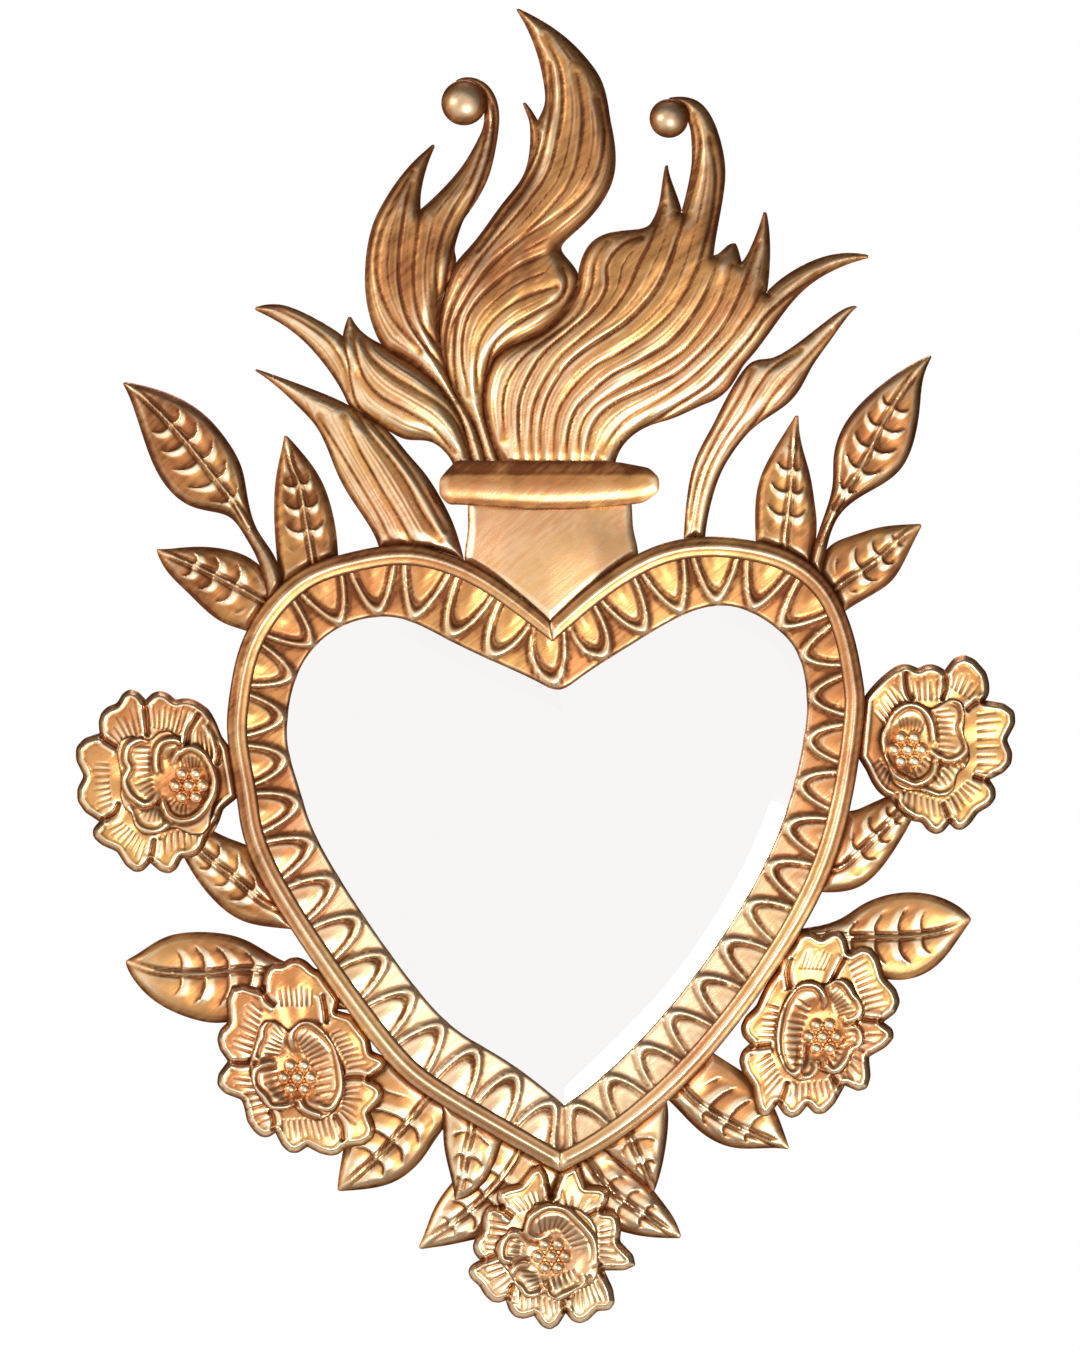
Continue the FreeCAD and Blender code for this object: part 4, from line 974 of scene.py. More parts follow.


class MIRROR_OT_flames(bpy.types.Operator):
    """Flames: full strands between chased lines, with finer lines down the broad strands"""
    bl_idname = "mirror.flames"
    bl_label = "Flames"

    def execute(self, context):
        settings = context.scene.chasing
        material = copper("flame_copper")
        for node in FLAMES:
            fully = not node.startswith(LIGHT_FLAMES)
            sheet = Sheet(node, settings.spacing)
            sheet.flatten(FLAME_ROUNDS)
            lines = [drawn(points) for points in FLAME_LINES[node]]
            gaps = [nearest(sheet.plan, line.points)[0] for line in lines]
            cut = bell(np.min(gaps, axis=0), settings.line_width)
            gaps = np.sort(np.array(gaps + [sheet.margin]), axis=0)
            sheet.lift += settings.strand * (1 - bell(gaps[0], settings.strand_width))
            for line, weight in zip(lines, itertools.cycle(LINE_WEIGHTS)):
                depth = LINE_DEPTHS[fully] * weight * settings.line_depth
                sheet.stroke(line, depth, LINE_WIDTH * settings.line_width)
            width = gaps[0] + gaps[1]
            across = gaps[0] / np.maximum(width, TINY)
            ends = nearest(sheet.plan, [line.points[k] for line in lines for k in (0, -1)])[0]
            broad = fade(width, *FINE_STRANDS) * fade(ends, *FINE_ENDS)
            for place, depth in FINE_LINES:
                fine = bell((across - place) * width, FINE_WIDTH)
                sheet.lift -= depth * settings.line_depth * broad * fine
            sheet.roll(settings.roll_drop, 2 * settings.roll_width)
            # Painted shade, darker towards the top of the flames
            top_shade = TOP_SHADES[fully] * fade(sheet.plan[:, 1], *TOP_SHADE_HEIGHTS)
            # Painted shade along the turned edges
            edge = sheet.near_edge(FLAME_EDGE_SHADE)
            sheet.finish(node + "_sheet", material, "crest_copper", patina=0.8,
                         tarnish_and_shade=top_shade + 0.25 * cut + 0.35 * edge - 0.2,
                         polish_and_highlight=-0.05 - 0.35 * top_shade - 0.5 * edge)
        return {"FINISHED"}


CREST_ROUNDS = 25               # of blurring that leave the broad shape of neck, collar and balls
CREST_DROP = 0.6                # drop of their edges, in drops of the other sheets
COLLAR_FLAT = 0.45              # share of the collar's crown that is beaten flat
COLLAR_SHADOW = 11 * MM, 8 * MM         # below its top, between which it gets painted shade, as its top faces up
BALL_EDGE_SHADE = 9 * MM              # width of the painted shade round the edge of a ball


class MIRROR_OT_crest(bpy.types.Operator):
    """Neck, collar and the balls in the scrolls"""
    bl_idname = "mirror.crest"
    bl_label = "Neck and scroll balls"

    def execute(self, context):
        settings = context.scene.chasing
        material = copper("crest_copper", rubbed=1.1)
        for node in ("neck", "neck_collar", "scroll_boss_left", "scroll_boss_right"):
            sheet = Sheet(node, settings.spacing)
            sheet.flatten(CREST_ROUNDS)
            sheet.roll(CREST_DROP * settings.roll_drop, settings.roll_width)
            if node == "neck":
                shade = -0.3
            elif node == "neck_collar":
                below = sheet.plan[:, 1].max() - sheet.plan[:, 1]
                # Painted shade on the collar's top, which faces up
                shade = 0.8 * fade(below, *COLLAR_SHADOW)
                sheet.lift -= COLLAR_FLAT * (sheet.lift - np.median(sheet.lift))
            else:
                # A darker tone on the balls, with painted shade round their edges
                shade = 0.2 + 0.3 * sheet.near_edge(BALL_EDGE_SHADE)
            sheet.finish(node + "_sheet", material, "crest_copper", patina=0.6, tarnish_and_shade=shade, polish_and_highlight=-shade)
        return {"FINISHED"}


LEAF_ROUNDS = 12                # of blurring that leave a leaf's broad shape
VEIN_REACH = 0.7                # end of a side vein, in shares of the way from midrib to edge
VEIN_SLANT = 0.35               # how far it runs towards the tip, per length away from the midrib
VEIN_BEND = 4.0 * MM            # how far it sags towards the root
VEIN_START = 0.37               # where the first one starts, in pitches
PILLOW_CREST = 0.92             # top of a pillow, in pitches from its root
PILLOW_RISE = 1.3               # exponent of its rise to the top
PILLOW_MEAN = 0.45              # level of the leaf, in heights of a pillow
PILLOWS_ASIDE = (0.03, 0.12), (0.5, 0.72)       # shares of the way to the edge where they start and end
PILLOWS_ALONG = (0.1, 0.2), (0.66, 0.8)         # and of the midrib's length
RIB_HEIGHT = 0.9 * MM
RIB_WIDTH = 0.9 * MM            # half width of the midrib
RIB_GROOVE = 0.6                # depth of the grooves beside it, in its heights
RIB_GROOVE_PLACE = 2.2 * MM     # their distance from its middle
RIB_GROOVE_WIDTH = 1.0 * MM     # their half width
RIB_TIP = 0.2                   # share of its length in which it runs out
RIB_RUBBED = 1.2 * MM           # half width of its bright line
CRESCENT_HIGHLIGHT = 0.8, 0.15            # place and half width of a pillow's painted highlight, a bright crescent, in pitches
LEAF_EDGE_SHADE = 4.0 * MM            # width of the painted shade along the edge
LEAF_SHADE_HEIGHTS = -0.1, 0.05        # heights between which leaves get painted shade, darker and less rubbed higher up


def pillow(part):
    """Profile of a pillow: a long rise from its root, then a steep fall to the next one."""
    fall = np.cos(0.5 * math.pi * (part - PILLOW_CREST) / (1 - PILLOW_CREST))
    return np.where(part > PILLOW_CREST, fall, (part / PILLOW_CREST) ** PILLOW_RISE)


class MIRROR_OT_leaves(bpy.types.Operator):
    """Leaves: raised midrib, rows of pillows beside it, plain turned margins and tips"""
    bl_idname = "mirror.leaves"
    bl_label = "Leaves"

    def execute(self, context):
        settings = context.scene.chasing
        material = copper("leaf_copper")
        for node in LEAVES:
            sheet = Sheet(node, settings.spacing)
            if not sheet.front.creases:
                raise RuntimeError(node + " has no midrib")
            path = max(sheet.front.creases, key=lambda fold: fold.length).path()
            if np.linalg.norm(path[0] - HEART_MIDDLE) > np.linalg.norm(path[-1] - HEART_MIDDLE):
                path = path[::-1]
            rib = Line(path)
            sheet.flatten(LEAF_ROUNDS)
            along, aside = rib.measure(sheet.plan)
            away = np.abs(aside)
            share = away / np.maximum(away + sheet.margin, TINY)
            outward = np.clip(share / VEIN_REACH, 0, 1)
            bulge = 4 * outward * (1 - outward)
            phase = (along - VEIN_SLANT * away + VEIN_BEND * bulge) / settings.vein_pitch + VEIN_START
            part = phase - np.floor(phase)
            body = between(share, *PILLOWS_ASIDE) * between(along / rib.length, *PILLOWS_ALONG)
            tip = fade(1 - along / rib.length, 0.0, RIB_TIP)
            ridge = bell(away, RIB_WIDTH) - RIB_GROOVE * bell(away - RIB_GROOVE_PLACE, RIB_GROOVE_WIDTH)
            sheet.lift += settings.vein_depth * body * (pillow(part) - PILLOW_MEAN)
            sheet.lift += RIB_HEIGHT * tip * ridge
            sheet.roll(settings.roll_drop, settings.roll_width)
            # Painted highlight on each pillow's crescent, and a rubbed bright line along the midrib
            crescent = body * bell(part - CRESCENT_HIGHLIGHT[0], CRESCENT_HIGHLIGHT[1])
            rubbed = crescent + bell(away, RIB_RUBBED)
            # Painted shade at the root of each pillow, just past the steep fall of the one before
            root = body * (1 - part) ** 1.5
            # Painted shade along the turned edges
            edge = sheet.near_edge(LEAF_EDGE_SHADE)
            # Painted shade on the upper leaves
            upper = fade(sheet.plan[:, 1], *LEAF_SHADE_HEIGHTS)
            sheet.finish(node + "_sheet", material, "leaf_copper", patina=0.8,
                         tarnish_and_shade=0.27 - 0.7 * rubbed + 0.35 * root + 0.3 * edge + 0.1 * upper,
                         polish_and_highlight=1.2 * crescent - 0.3 * edge - 0.25 * upper)
        return {"FINISHED"}


# Petals in millimetres from the eye of their flower. Rims run with the outside on their right. Each fan of
# short slits gives its number and some of its slits, from the root outwards.
FLOWER_LINES = {
    "left": {
        "gaps": [
            [(-26, 30), (-27, 42), (-28, 54)], [(-45, 24), (-52, 28), (-57, 32)],
            [(-44, -10), (-48, -18), (-57, -22)], [(-22, -33), (-23, -40), (-25, -49)],
            [(-2, 22), (0, 34), (7, 47)], [(17, 11), (19, 24), (12, 42)],
            [(11, -34), (15, -26), (20, -21)]],
        "outer": [
            (8, [((-52, 13), (-63, 14)), ((-50, -12), (-59, -16))]),
            (9, [((-25, 38), (-27, 51)), ((-3, 33), (4, 51))]),
            (6, [((-44, 26), (-54, 36)), ((-31, 34), (-35, 55))]),
            (8, [((-43, -24), (-53, -29)), ((-28, -37), (-32, -49))]),
            (8, [((-19, -33), (-20, -45)), ((9, -24), (10, -38))]),
            (4, [((5, 17), (5, 35)), ((14, 18), (12, 39))])],
        "rims": [
            [(-21, 30), (-28, 30), (-35, 28), (-39, 24), (-40, 17), (-38, 11), (-41, 4), (-39, -3),
             (-35, -8), (-28, -12), (-22, -9), (-18, -3)],
            [(-18, -5), (-14, -17), (-7, -22), (2, -21), (9, -15), (14, -6), (16, 3), (14, 12),
             (9, 20), (1, 24), (-7, 20), (-12, 11)],
            [(-38, -12), (-36, -19), (-32, -26), (-25, -29), (-18, -28), (-11, -22)],
            [(0, 24), (-8, 29), (-16, 28), (-20, 23), (-21, 15), (-20, 6)]],
        "inner": [
            (9, [((-25, 25), (-36, 25)), ((-25, 10), (-36, 10)), ((-23, -2), (-32, -9))]),
            (6, [((-27, -13), (-32, -19)), ((-16, -16), (-16, -27))]),
            (6, [((-4, 12), (-6, 19)), ((6, 12), (8, 19))]),
            (5, [((-11, -9), (-15, -12)), ((-2, -13), (-2, -20))])]},
    "right": {
        "gaps": [
            [(4, 30), (0, 38), (-1, 51)], [(22, 30), (25, 40), (24, 49)], [(37, 24), (43, 29), (51, 31)],
            [(41, -17), (47, -19), (54, -22)], [(22, -33), (25, -40), (28, -47)],
            [(-7, -27), (-6, -38), (5, -45)]],
        "outer": [
            (7, [((-15, 17), (-22, 25)), ((-1, 30), (-10, 44))]),
            (6, [((4, 32), (2, 47)), ((22, 32), (23, 45))]),
            (6, [((28, 40), (31, 53)), ((42, 31), (50, 39))]),
            (8, [((45, 22), (59, 24)), ((45, -15), (59, -15))]),
            (6, [((38, -21), (47, -26)), ((26, -32), (31, -44))]),
            (7, [((20, -33), (22, -44)), ((-2, -27), (-4, -40))]),
            (5, [((-18, -7), (-24, -11)), ((-10, -17), (-14, -26))])],
        "rims": [
            [(17, -1), (22, -6), (28, -7), (34, -4), (38, 1), (37, 7), (34, 13), (36, 20), (35, 27),
             (31, 31), (25, 32)], [(17, 3), (15, 16), (11, 24), (5, 28), (-2, 28), (-9, 23), (-14, 16)],
            [(8, -25), (14, -27), (20, -29), (27, -27), (32, -23), (36, -17), (36, -7)],
            [(-17, 1), (-14, -8), (-8, -16), (-1, -20), (5, -22), (12, -19), (17, -13), (18, -5),
             (13, 1)]],
        "inner": [
            (8, [((18, 24), (29, 26)), ((20, -2), (31, -3))]),
            (5, [((28, -9), (34, -13)), ((17, -17), (22, -26))]),
            (7, [((-4, 14), (-7, 21)), ((8, 11), (11, 17))]),
            (4, [((11, -6), (16, -9)), ((3, -12), (6, -18))])]},
    "low_left": {
        "gaps": [
            [(-13, 45), (-19, 50), (-23, 59)], [(-26, 11), (-35, 9), (-43, 10)],
            [(-18, -20), (-15, -27), (-16, -35)], [(23, -23), (28, -31), (29, -42)],
            [(29, -1), (38, 0), (48, -2)], [(19, 33), (18, 43), (16, 54)]],
        "outer": [
            (7, [((-10, 46), (-12, 58)), ((9, 46), (9, 58))]),
            (8, [((-23, 43), (-31, 50)), ((-30, 16), (-43, 20))]),
            (7, [((-31, -2), (-43, 0)), ((-18, -26), (-30, -32))]),
            (10, [((-9, -28), (-9, -41)), ((23, -26), (27, -39))]),
            (6, [((30, -8), (42, -5)), ((28, -22), (37, -30))]),
            (8, [((22, 27), (29, 31)), ((33, 6), (45, 9))])],
        "rims": [
            [(13, -16), (16, -19), (21, -19), (25, -15), (28, -6), (27, 7), (24, 20), (17, 29),
             (9, 35), (2, 35), (-3, 30), (-4, 23), (-1, 16)],
            [(-7, 33), (-11, 38), (-17, 38), (-22, 32), (-23, 26), (-26, 20), (-27, 13), (-22, 11)],
            [(-12, 9), (-19, 9), (-26, 6), (-28, -1), (-26, -7), (-21, -12), (-17, -18), (-12, -19),
             (-5, -18), (-2, -13)], [(1, -13), (4, -19), (9, -22), (16, -24)]],
        "inner": [
            (12, [((1, 23), (7, 31)), ((7, 9), (23, 15)), ((13, -15), (24, -14))]),
            (7, [((-9, 29), (-14, 36)), ((-13, 14), (-23, 15))]),
            (6, [((-14, 6), (-24, 4)), ((-6, -12), (-16, -16))])]},
    "low_right": {
        "gaps": [
            [(5, 30), (9, 40), (15, 51)], [(24, 11), (31, 10), (38, 10)],
            [(5, -24), (8, -28), (12, -33)], [(-22, -28), (-24, -35), (-28, -44)],
            [(-32, -5), (-40, -6), (-48, -7)], [(-20, 29), (-22, 40), (-20, 51)]],
        "outer": [
            (7, [((-14, 44), (-10, 56)), ((1, 43), (6, 54))]),
            (9, [((17, 46), (26, 52)), ((28, 17), (42, 21))]),
            (6, [((28, 1), (39, 2)), ((15, -22), (21, -31))]),
            (8, [((-20, -31), (-22, -44)), ((6, -28), (9, -39))]),
            (6, [((-34, -12), (-43, -17)), ((-27, -27), (-36, -37))]),
            (6, [((-29, 18), (-36, 20)), ((-31, -1), (-42, -1))])],
        "rims": [
            [(-2, 16), (1, 22), (-1, 29), (-6, 33), (-14, 33), (-20, 29), (-25, 20), (-28, 8),
             (-29, -4), (-27, -16), (-22, -23), (-16, -22), (-13, -13), (-13, -1)],
            [(12, 11), (17, 10), (22, 13), (24, 18), (22, 23), (19, 26), (16, 31), (12, 35), (6, 36),
             (2, 31)],
            [(0, -15), (5, -21), (10, -20), (15, -14), (18, -8), (23, -5), (24, 1), (21, 6), (14, 6)],
            [(-14, -26), (-8, -25), (-4, -20), (-4, -15)]],
        "inner": [
            (10, [((-9, 19), (-17, 24)), ((-14, 3), (-25, 4)), ((-14, -17), (-25, -17))]),
            (7, [((5, 25), (11, 33)), ((10, 13), (22, 16))]),
            (6, [((12, -3), (22, 2)), ((3, -14), (7, -20))])]},
    "bottom": {
        "gaps": [
            [(0, 33), (-1, 40), (-2, 47)], [(20, 22), (27, 27), (34, 29)],
            [(30, -5), (31, -10), (34, -14)], [(7, -28), (8, -32), (9, -37)],
            [(-24, -17), (-26, -24), (-28, -29)], [(-32, 2), (-39, -1), (-45, -3)],
            [(-24, 24), (-30, 29), (-33, 33)]],
        "outer": [
            (7, [((-20, 29), (-27, 36)), ((-5, 34), (-6, 43))]),
            (5, [((9, 31), (7, 41)), ((23, 26), (32, 34))]),
            (7, [((31, 18), (40, 21)), ((31, -5), (42, -7))]),
            (7, [((14, -24), (14, -37)), ((29, -17), (35, -30))]),
            (8, [((-23, -23), (-24, -33)), ((3, -29), (4, -40))]),
            (5, [((-34, -5), (-46, -8)), ((-25, -18), (-34, -26))]),
            (5, [((-29, 20), (-40, 22)), ((-32, 3), (-45, 4))])],
        "rims": [
            [(23, -8), (28, -3), (28, 6), (25, 14), (17, 23), (9, 30), (0, 32), (-7, 30), (-14, 24),
             (-16, 16), (-13, 12), (-7, 11), (0, 15)],
            [(-20, 15), (-27, 14), (-31, 9), (-32, 2), (-30, -2), (-24, -3)],
            [(-12, -5), (-20, -5), (-25, -10), (-25, -16), (-20, -19), (-16, -24), (-10, -24),
             (-5, -21), (-4, -15)],
            [(-4, -17), (-3, -24), (2, -27), (8, -24), (15, -21), (20, -18), (21, -10)]],
        "inner": [
            (10, [((-7, 16), (-9, 26)), ((5, 18), (10, 25)), ((13, 6), (25, 9))]),
            (4, [((-20, 9), (-27, 11)), ((-21, 0), (-30, 0))]),
            (5, [((-10, -10), (-21, -8)), ((-7, -18), (-14, -23))]),
            (6, [((-2, -14), (0, -24)), ((14, -9), (19, -16))])]},
}


def fan(count, slits, eye):
    """A fan of slits spaced evenly between the given ones, as pairs of points."""
    given = np.array(slits, float) * MM + eye
    places = np.linspace(0, len(given) - 1, count)
    before = np.minimum(places.astype(int), len(given) - 2)
    share = (places - before)[:, None, None]
    return given[before] + share * (given[before + 1] - given[before])


PETAL_ROUNDS = 40               # of blurring that leave the petals' broad shape
GAP_WIDTH = 1.5                 # of the lines between outer petals, in widths of a chased line
TURNED_RIDGE = 0.8              # height of the ridge along an outer petal's edge, in heights of a rolled rim
TURNED_PLACE = 4.0 * MM         # its distance from the edge
TURNED_WIDTH = 1.5 * MM         # its half width
OUTER_EDGE = 1.0, 0.8           # drop and width of the turned edges, in shares of the other sheets'
INNER_EDGE = 0.4, 0.3
EYE_SLOPE = 12 * MM, 24 * MM    # distances from a flower's middle between which its raised eye falls
EYE_SHADOW = 11 * MM, 14 * MM   # and between which the painted shade round the beads ends
SLIT_SHORTER = 0.12             # mean share that a slit is shorter than drawn
SLIT_UNEVEN = 2.4               # step, in radians, of the sine that varies their lengths
PETAL_EDGE_SHADE = 3.0 * MM           # width of the painted shade along the edge


class MIRROR_OT_petals(bpy.types.Operator):
    """Petals: ruffled outer ones with turned edges, inner ones with rolled rims, all with short slits"""
    bl_idname = "mirror.petals"
    bl_label = "Petals"

    def raise_outer(self, sheet, settings, lines, eye):
        """Raises the outer petals, which have no painted shade of their own."""
        for points in lines["gaps"]:
            sheet.stroke(drawn(points, eye), settings.gap_depth, GAP_WIDTH * settings.line_width)
        ridge = bell(sheet.margin - TURNED_PLACE, TURNED_WIDTH)
        sheet.lift += TURNED_RIDGE * settings.rim_height * ridge
        sheet.roll(OUTER_EDGE[0] * settings.roll_drop, OUTER_EDGE[1] * settings.roll_width)
        return 0.0

    def raise_inner(self, sheet, settings, lines, eye):
        """Raises the inner petals, and gives the painted shade round the beads."""
        radius = np.linalg.norm(sheet.plan - eye, axis=1)
        sheet.lift += settings.eye_lift * (1 - fade(radius, *EYE_SLOPE))
        sheet.roll(INNER_EDGE[0] * settings.roll_drop, INNER_EDGE[1] * settings.roll_width)
        for points in lines["rims"]:
            sheet.rolled_rim(drawn(points, eye), settings.rim_height, settings.rim_width)
        # Painted shade round the beads
        return 0.25 * (1 - fade(radius, *EYE_SHADOW))

    def execute(self, context):
        settings = context.scene.chasing
        material = copper("petal_copper")
        layers = {"outer": self.raise_outer, "inner": self.raise_inner}
        for flower, lines in FLOWER_LINES.items():
            low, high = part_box(f"flower_{flower}_stamens")
            eye = np.array([(low.x + high.x) / 2, (low.z + high.z) / 2])
            for layer, raise_petals in layers.items():
                sheet = Sheet(f"flower_{flower}_{layer}_petals", settings.petal_spacing)
                sheet.flatten(PETAL_ROUNDS)
                shade = raise_petals(sheet, settings, lines, eye)
                for count, slits in lines[layer]:
                    for k, (start, end) in enumerate(fan(count, slits, eye)):
                        short = end + SLIT_SHORTER * (1 + math.sin(SLIT_UNEVEN * k + count)) * (start - end)
                        sheet.slit(start, short, settings.slit_depth, settings.slit_width)
                # Painted shade along the turned edges, together with the painted shade round the beads
                sheet.finish(sheet.node + "_sheet", material, "flower_copper", patina=0.7,
                             tarnish_and_shade=shade + 0.2 * sheet.near_edge(PETAL_EDGE_SHADE), polish_and_highlight=-0.1)
        return {"FINISHED"}


# Stamens

BEAD_SEGMENTS, BEAD_RINGS = 20, 12      # of a bead's mesh
COLLAR = {"Radius Bottom": 1.12, "Radius Top": 0.8, "Depth": 0.5}      # in radii of the bead on it
COLLAR_PLACE = -0.75                    # foot of the collar from the bead's middle, in the same


def bead_tree(material):
    """Geometry nodes: a ring of beads round a middle one, each on a small collar."""
    tree = bpy.data.node_groups.new("stamens", "GeometryNodeTree")
    for name, kind in (("Bead radius", "NodeSocketFloat"), ("Ring radius", "NodeSocketFloat"),
                       ("Beads", "NodeSocketInt"), ("Middle", "NodeSocketVector")):
        tree.interface.new_socket(name, in_out="INPUT", socket_type=kind)
    tree.interface.new_socket("Geometry", in_out="OUTPUT", socket_type="NodeSocketGeometry")

    def node(kind, **values):
        """A node whose inputs are other nodes' outputs or fixed values; gives its first output."""
        made = tree.nodes.new(kind)
        for name, value in values.items():
            if isinstance(value, bpy.types.NodeSocket):
                tree.links.new(value, made.inputs[name])
            else:
                made.inputs[name].default_value = value
        return made.outputs[0] if made.outputs else None

    def radii(factor):
        """A bead's radius times a factor."""
        scaled = tree.nodes.new("ShaderNodeMath")
        scaled.operation = "MULTIPLY"
        scaled.inputs[1].default_value = factor
        tree.links.new(given["Bead radius"], scaled.inputs[0])
        return scaled.outputs[0]

    def joined(*parts):
        join = tree.nodes.new("GeometryNodeJoinGeometry")
        for part in parts:
            tree.links.new(part, join.inputs[0])
        return join.outputs[0]

    given = tree.nodes.new("NodeGroupInput").outputs
    ball = node("GeometryNodeMeshUVSphere", Segments=BEAD_SEGMENTS, Rings=BEAD_RINGS,
                Radius=given["Bead radius"])
    collar = node("GeometryNodeMeshCone", Vertices=BEAD_SEGMENTS,
                  **{name: radii(factor) for name, factor in COLLAR.items()})
    down = node("ShaderNodeCombineXYZ", Z=radii(COLLAR_PLACE))
    bead = joined(ball, node("GeometryNodeTransform", Geometry=collar, Translation=down))
    ring = node("GeometryNodeMeshCircle", Vertices=given["Beads"], Radius=given["Ring radius"])
    places = joined(ring, node("GeometryNodeMeshLine", Count=1))
    beads = node("GeometryNodeInstanceOnPoints", Points=places, Instance=bead)
    facing = node("GeometryNodeTransform", Geometry=beads, Translation=given["Middle"],
                  Rotation=(math.pi / 2, 0, 0))
    real = node("GeometryNodeRealizeInstances", Geometry=facing)
    smooth = node("GeometryNodeSetShadeSmooth", Geometry=real)
    painted = node("GeometryNodeSetMaterial", Geometry=smooth, Material=material)
    node("NodeGroupOutput", Geometry=painted)
    return tree


class MIRROR_OT_stamens(bpy.types.Operator):
    """Stamens in the eye of each flower"""
    bl_idname = "mirror.stamens"
    bl_label = "Stamens"

    def execute(self, context):
        settings = context.scene.chasing
        tree = bead_tree(copper("stamen_copper", worked=False, rubbed=2.0, age=-0.4))
        sockets = {item.name: item.identifier for item in tree.interface.items_tree if item.in_out == "INPUT"}
        for flower in FLOWERS:
            node = f"flower_{flower}_stamens"
            low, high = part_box(node)
            carrier = bpy.data.objects.new(node + "_carrier", bpy.data.meshes.new(node + "_carrier"))
            context.scene.collection.objects.link(carrier)
            modifier = carrier.modifiers.new("stamens", "NODES")
            modifier.node_group = tree
            modifier[sockets["Bead radius"]] = settings.bead_radius
            modifier[sockets["Ring radius"]] = settings.ring_radius
            modifier[sockets["Beads"]] = settings.beads
            modifier[sockets["Middle"]] = (
                (low.x + high.x) / 2, low.y + settings.bead_radius, (low.z + high.z) / 2)
            context.view_layer.update()
            mesh = bpy.data.meshes.new_from_object(carrier.evaluated_get(context.evaluated_depsgraph_get()))
            carrier.modifiers.clear()
            bpy.data.objects.remove(carrier)
            mesh.name = f"{flower}_stamen_beads"
            piece = bpy.data.objects.new(f"{flower}_stamen_beads", mesh)
            context.scene.collection.objects.link(piece)
            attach(piece, BODY)
            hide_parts(node)
        return {"FINISHED"}


class MIRROR_OT_plain(bpy.types.Operator):
    """Finishes of the glass, board, back plate, brace and hanger"""
    bl_idname = "mirror.plain"
    bl_label = "Glass, back and hanger"

    def execute(self, context):
        plated = steel("plated_steel", 0.3)
        finishes = {
            "mirror_glass": mirror_silver(),
            "backing_board": hardboard(),
            "back_plate": copper("plate_copper", worked=False, age=0.2),
            "crest_brace": steel("brace_steel", 0.45),
            "hanger_strap": plated,
            "hanger_ring": plated,
            "hanger_rivets": copper("rivet_copper", worked=False),
        }
        for node, material in finishes.items():
            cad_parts[node].data.materials.clear()
            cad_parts[node].data.materials.append(material)
        return {"FINISHED"}


# Stage

BRIGHT_FROM = -0.35, -0.75, -0.55       # direction from which the surround is brightest
BRIGHTENS = -0.15, 0.6                  # along it
DARKEST = 0.13                          # strength of the surround on its dark side
LAMPS = {                               # size and place
    "key_lamp": (1.2, (0.5, -2.2, -0.9)),
    "fill_lamp": (1.0, (-1.9, -1.5, 0.5)),
    "floor_lamp": (1.4, (0.0, 1.0, 1.5)),
}
FLOOR_LIT = 0.2                         # distance behind the wall that the floor lamp aims at
FLOOR_SEGMENTS = 96
SENSOR = 24.0                           # height of the camera's sensor, in millimetres
SEEN_X, SEEN_Z = -6.4 * MM, -73.6 * MM  # middle of the picture on the wall


def world_light():
    """White for the camera; for the metal, bright in front and towards the low left, dark above."""
    world = bpy.data.worlds.new("studio")
    bpy.context.scene.world = world
    shader = Shader(world)
    direction = shader.node("ShaderNodeTexCoord", output="Generated")
    along = [shader.node("ShaderNodeSeparateXYZ", {}, {0: direction}, output=k) for k in range(3)]
    facing = sum(along[k] * BRIGHT_FROM[k] for k in range(3))
    studio = DARKEST + (1 - DARKEST) * facing.step(*BRIGHTENS)
    seen = shader.node("ShaderNodeLightPath", output="Is Camera Ray")
    strength = seen + (1 - seen) * studio.clamp()
    lit = shader.node("ShaderNodeBackground", {}, {"Color": (1.0, 1.0, 1.0, 1.0), "Strength": strength})
    shader.node("ShaderNodeOutputWorld", {}, {"Surface": lit})


def lamp(name, energy, target):
    size, place = LAMPS[name]
    light = bpy.data.lights.new(name, "AREA")
    light.energy = energy
    light.shape = "DISK"
    light.size = size
    holder = bpy.data.objects.new(name, light)
    holder.location = place
    holder.rotation_euler = (Vector(target) - Vector(place)).to_track_quat("-Z", "Y").to_euler()
    bpy.context.scene.collection.objects.link(holder)


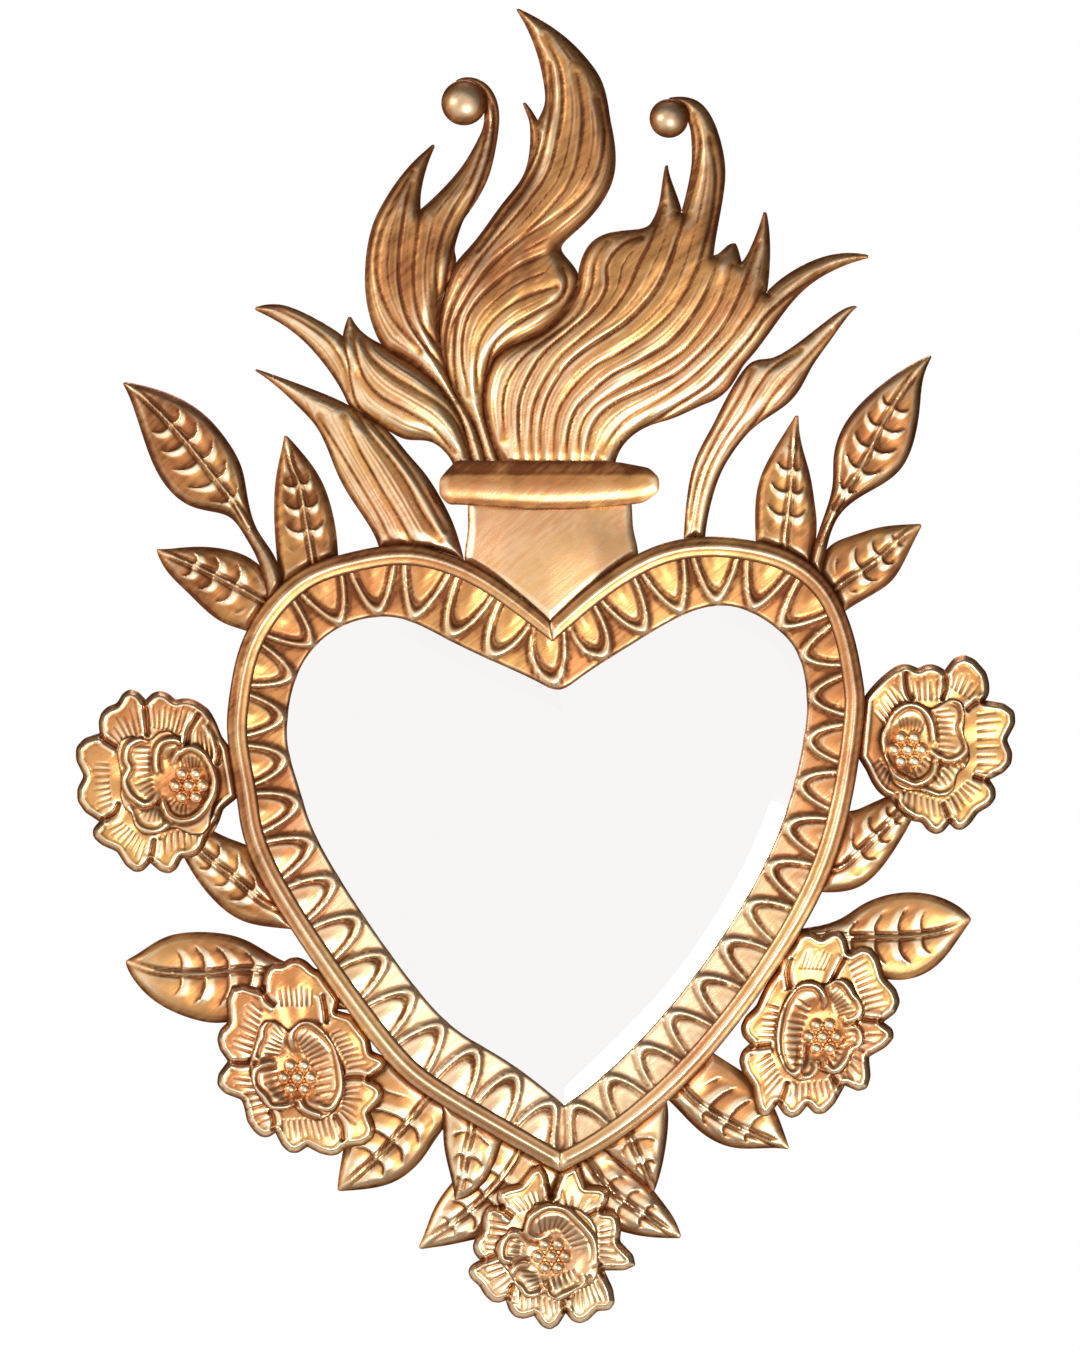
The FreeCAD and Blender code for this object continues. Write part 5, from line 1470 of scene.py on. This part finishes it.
class MIRROR_OT_stage(bpy.types.Operator):
    """Pale floor, soft lamps, white surround and the camera"""
    bl_idname = "mirror.stage"
    bl_label = "Stage"

    def execute(self, context):
        settings = context.scene.stage_settings
        scene = context.scene
        low, high = Vector(CAD_BOX[0]), Vector(CAD_BOX[1])
        middle = (low + high) / 2
        level = low.z - settings.floor_drop
        floor_mesh = bpy.data.meshes.new("floor")
        disc = bmesh.new()
        bmesh.ops.create_circle(disc, cap_ends=True, segments=FLOOR_SEGMENTS, radius=settings.floor_radius)
        bmesh.ops.translate(disc, verts=disc.verts, vec=(middle.x, 0, level))
        disc.to_mesh(floor_mesh)
        disc.free()
        floor = bpy.data.objects.new("floor", floor_mesh)
        scene.collection.objects.link(floor)
        pale = bpy.data.materials.new("pale_floor")
        shader = Shader(pale)
        tones = colour(settings.floor_dark), colour(settings.floor_pale)
        shader.surface(base_color=shader.mix(shader.noise(*FLOOR_TONES), *tones), roughness=0.6)
        floor_mesh.materials.append(pale)
        world_light()
        lamp("key_lamp", settings.key_power, middle)
        lamp("fill_lamp", settings.fill_power, middle)
        lamp("floor_lamp", settings.floor_power, (middle.x, FLOOR_LIT, level))
        camera = bpy.data.cameras.new("camera")
        camera.sensor_fit = "VERTICAL"
        camera.sensor_height = SENSOR
        camera.lens = camera.sensor_height * settings.distance / settings.frame_height
        holder = bpy.data.objects.new("camera", camera)
        holder.location = (SEEN_X, -settings.distance, SEEN_Z)
        holder.rotation_euler = (math.pi / 2, 0, 0)
        scene.collection.objects.link(holder)
        scene.camera = holder
        scene.view_settings.view_transform = "Standard"
        return {"FINISHED"}


class MIRROR_PT_panel(bpy.types.Panel):
    """Buttons for each group of pieces"""
    bl_idname = "MIRROR_PT_panel"
    bl_label = "Heart Mirror"
    bl_space_type = "VIEW_3D"
    bl_region_type = "UI"
    bl_category = "Heart Mirror"

    def draw(self, context):
        for operator in OPERATORS:
            self.layout.operator(operator.bl_idname)


OPERATORS = (MIRROR_OT_border, MIRROR_OT_rims, MIRROR_OT_flames, MIRROR_OT_crest, MIRROR_OT_leaves,
             MIRROR_OT_petals, MIRROR_OT_stamens, MIRROR_OT_plain, MIRROR_OT_stage)
SETTINGS = {"chasing": ChasingSettings, "finish": FinishSettings, "stage_settings": StageSettings}


def register():
    for name, group in SETTINGS.items():
        bpy.utils.register_class(group)
        setattr(bpy.types.Scene, name, bpy.props.PointerProperty(type=group))
    for item in OPERATORS + (MIRROR_PT_panel,):
        bpy.utils.register_class(item)


def unregister():
    for item in (MIRROR_PT_panel,) + OPERATORS[::-1]:
        bpy.utils.unregister_class(item)
    for name, group in SETTINGS.items():
        delattr(bpy.types.Scene, name)
        bpy.utils.unregister_class(group)


def main():
    register()
    for operator in OPERATORS:
        group, name = operator.bl_idname.split(".")
        getattr(getattr(bpy.ops, group), name)()


if __name__ == "__main__":
    main()
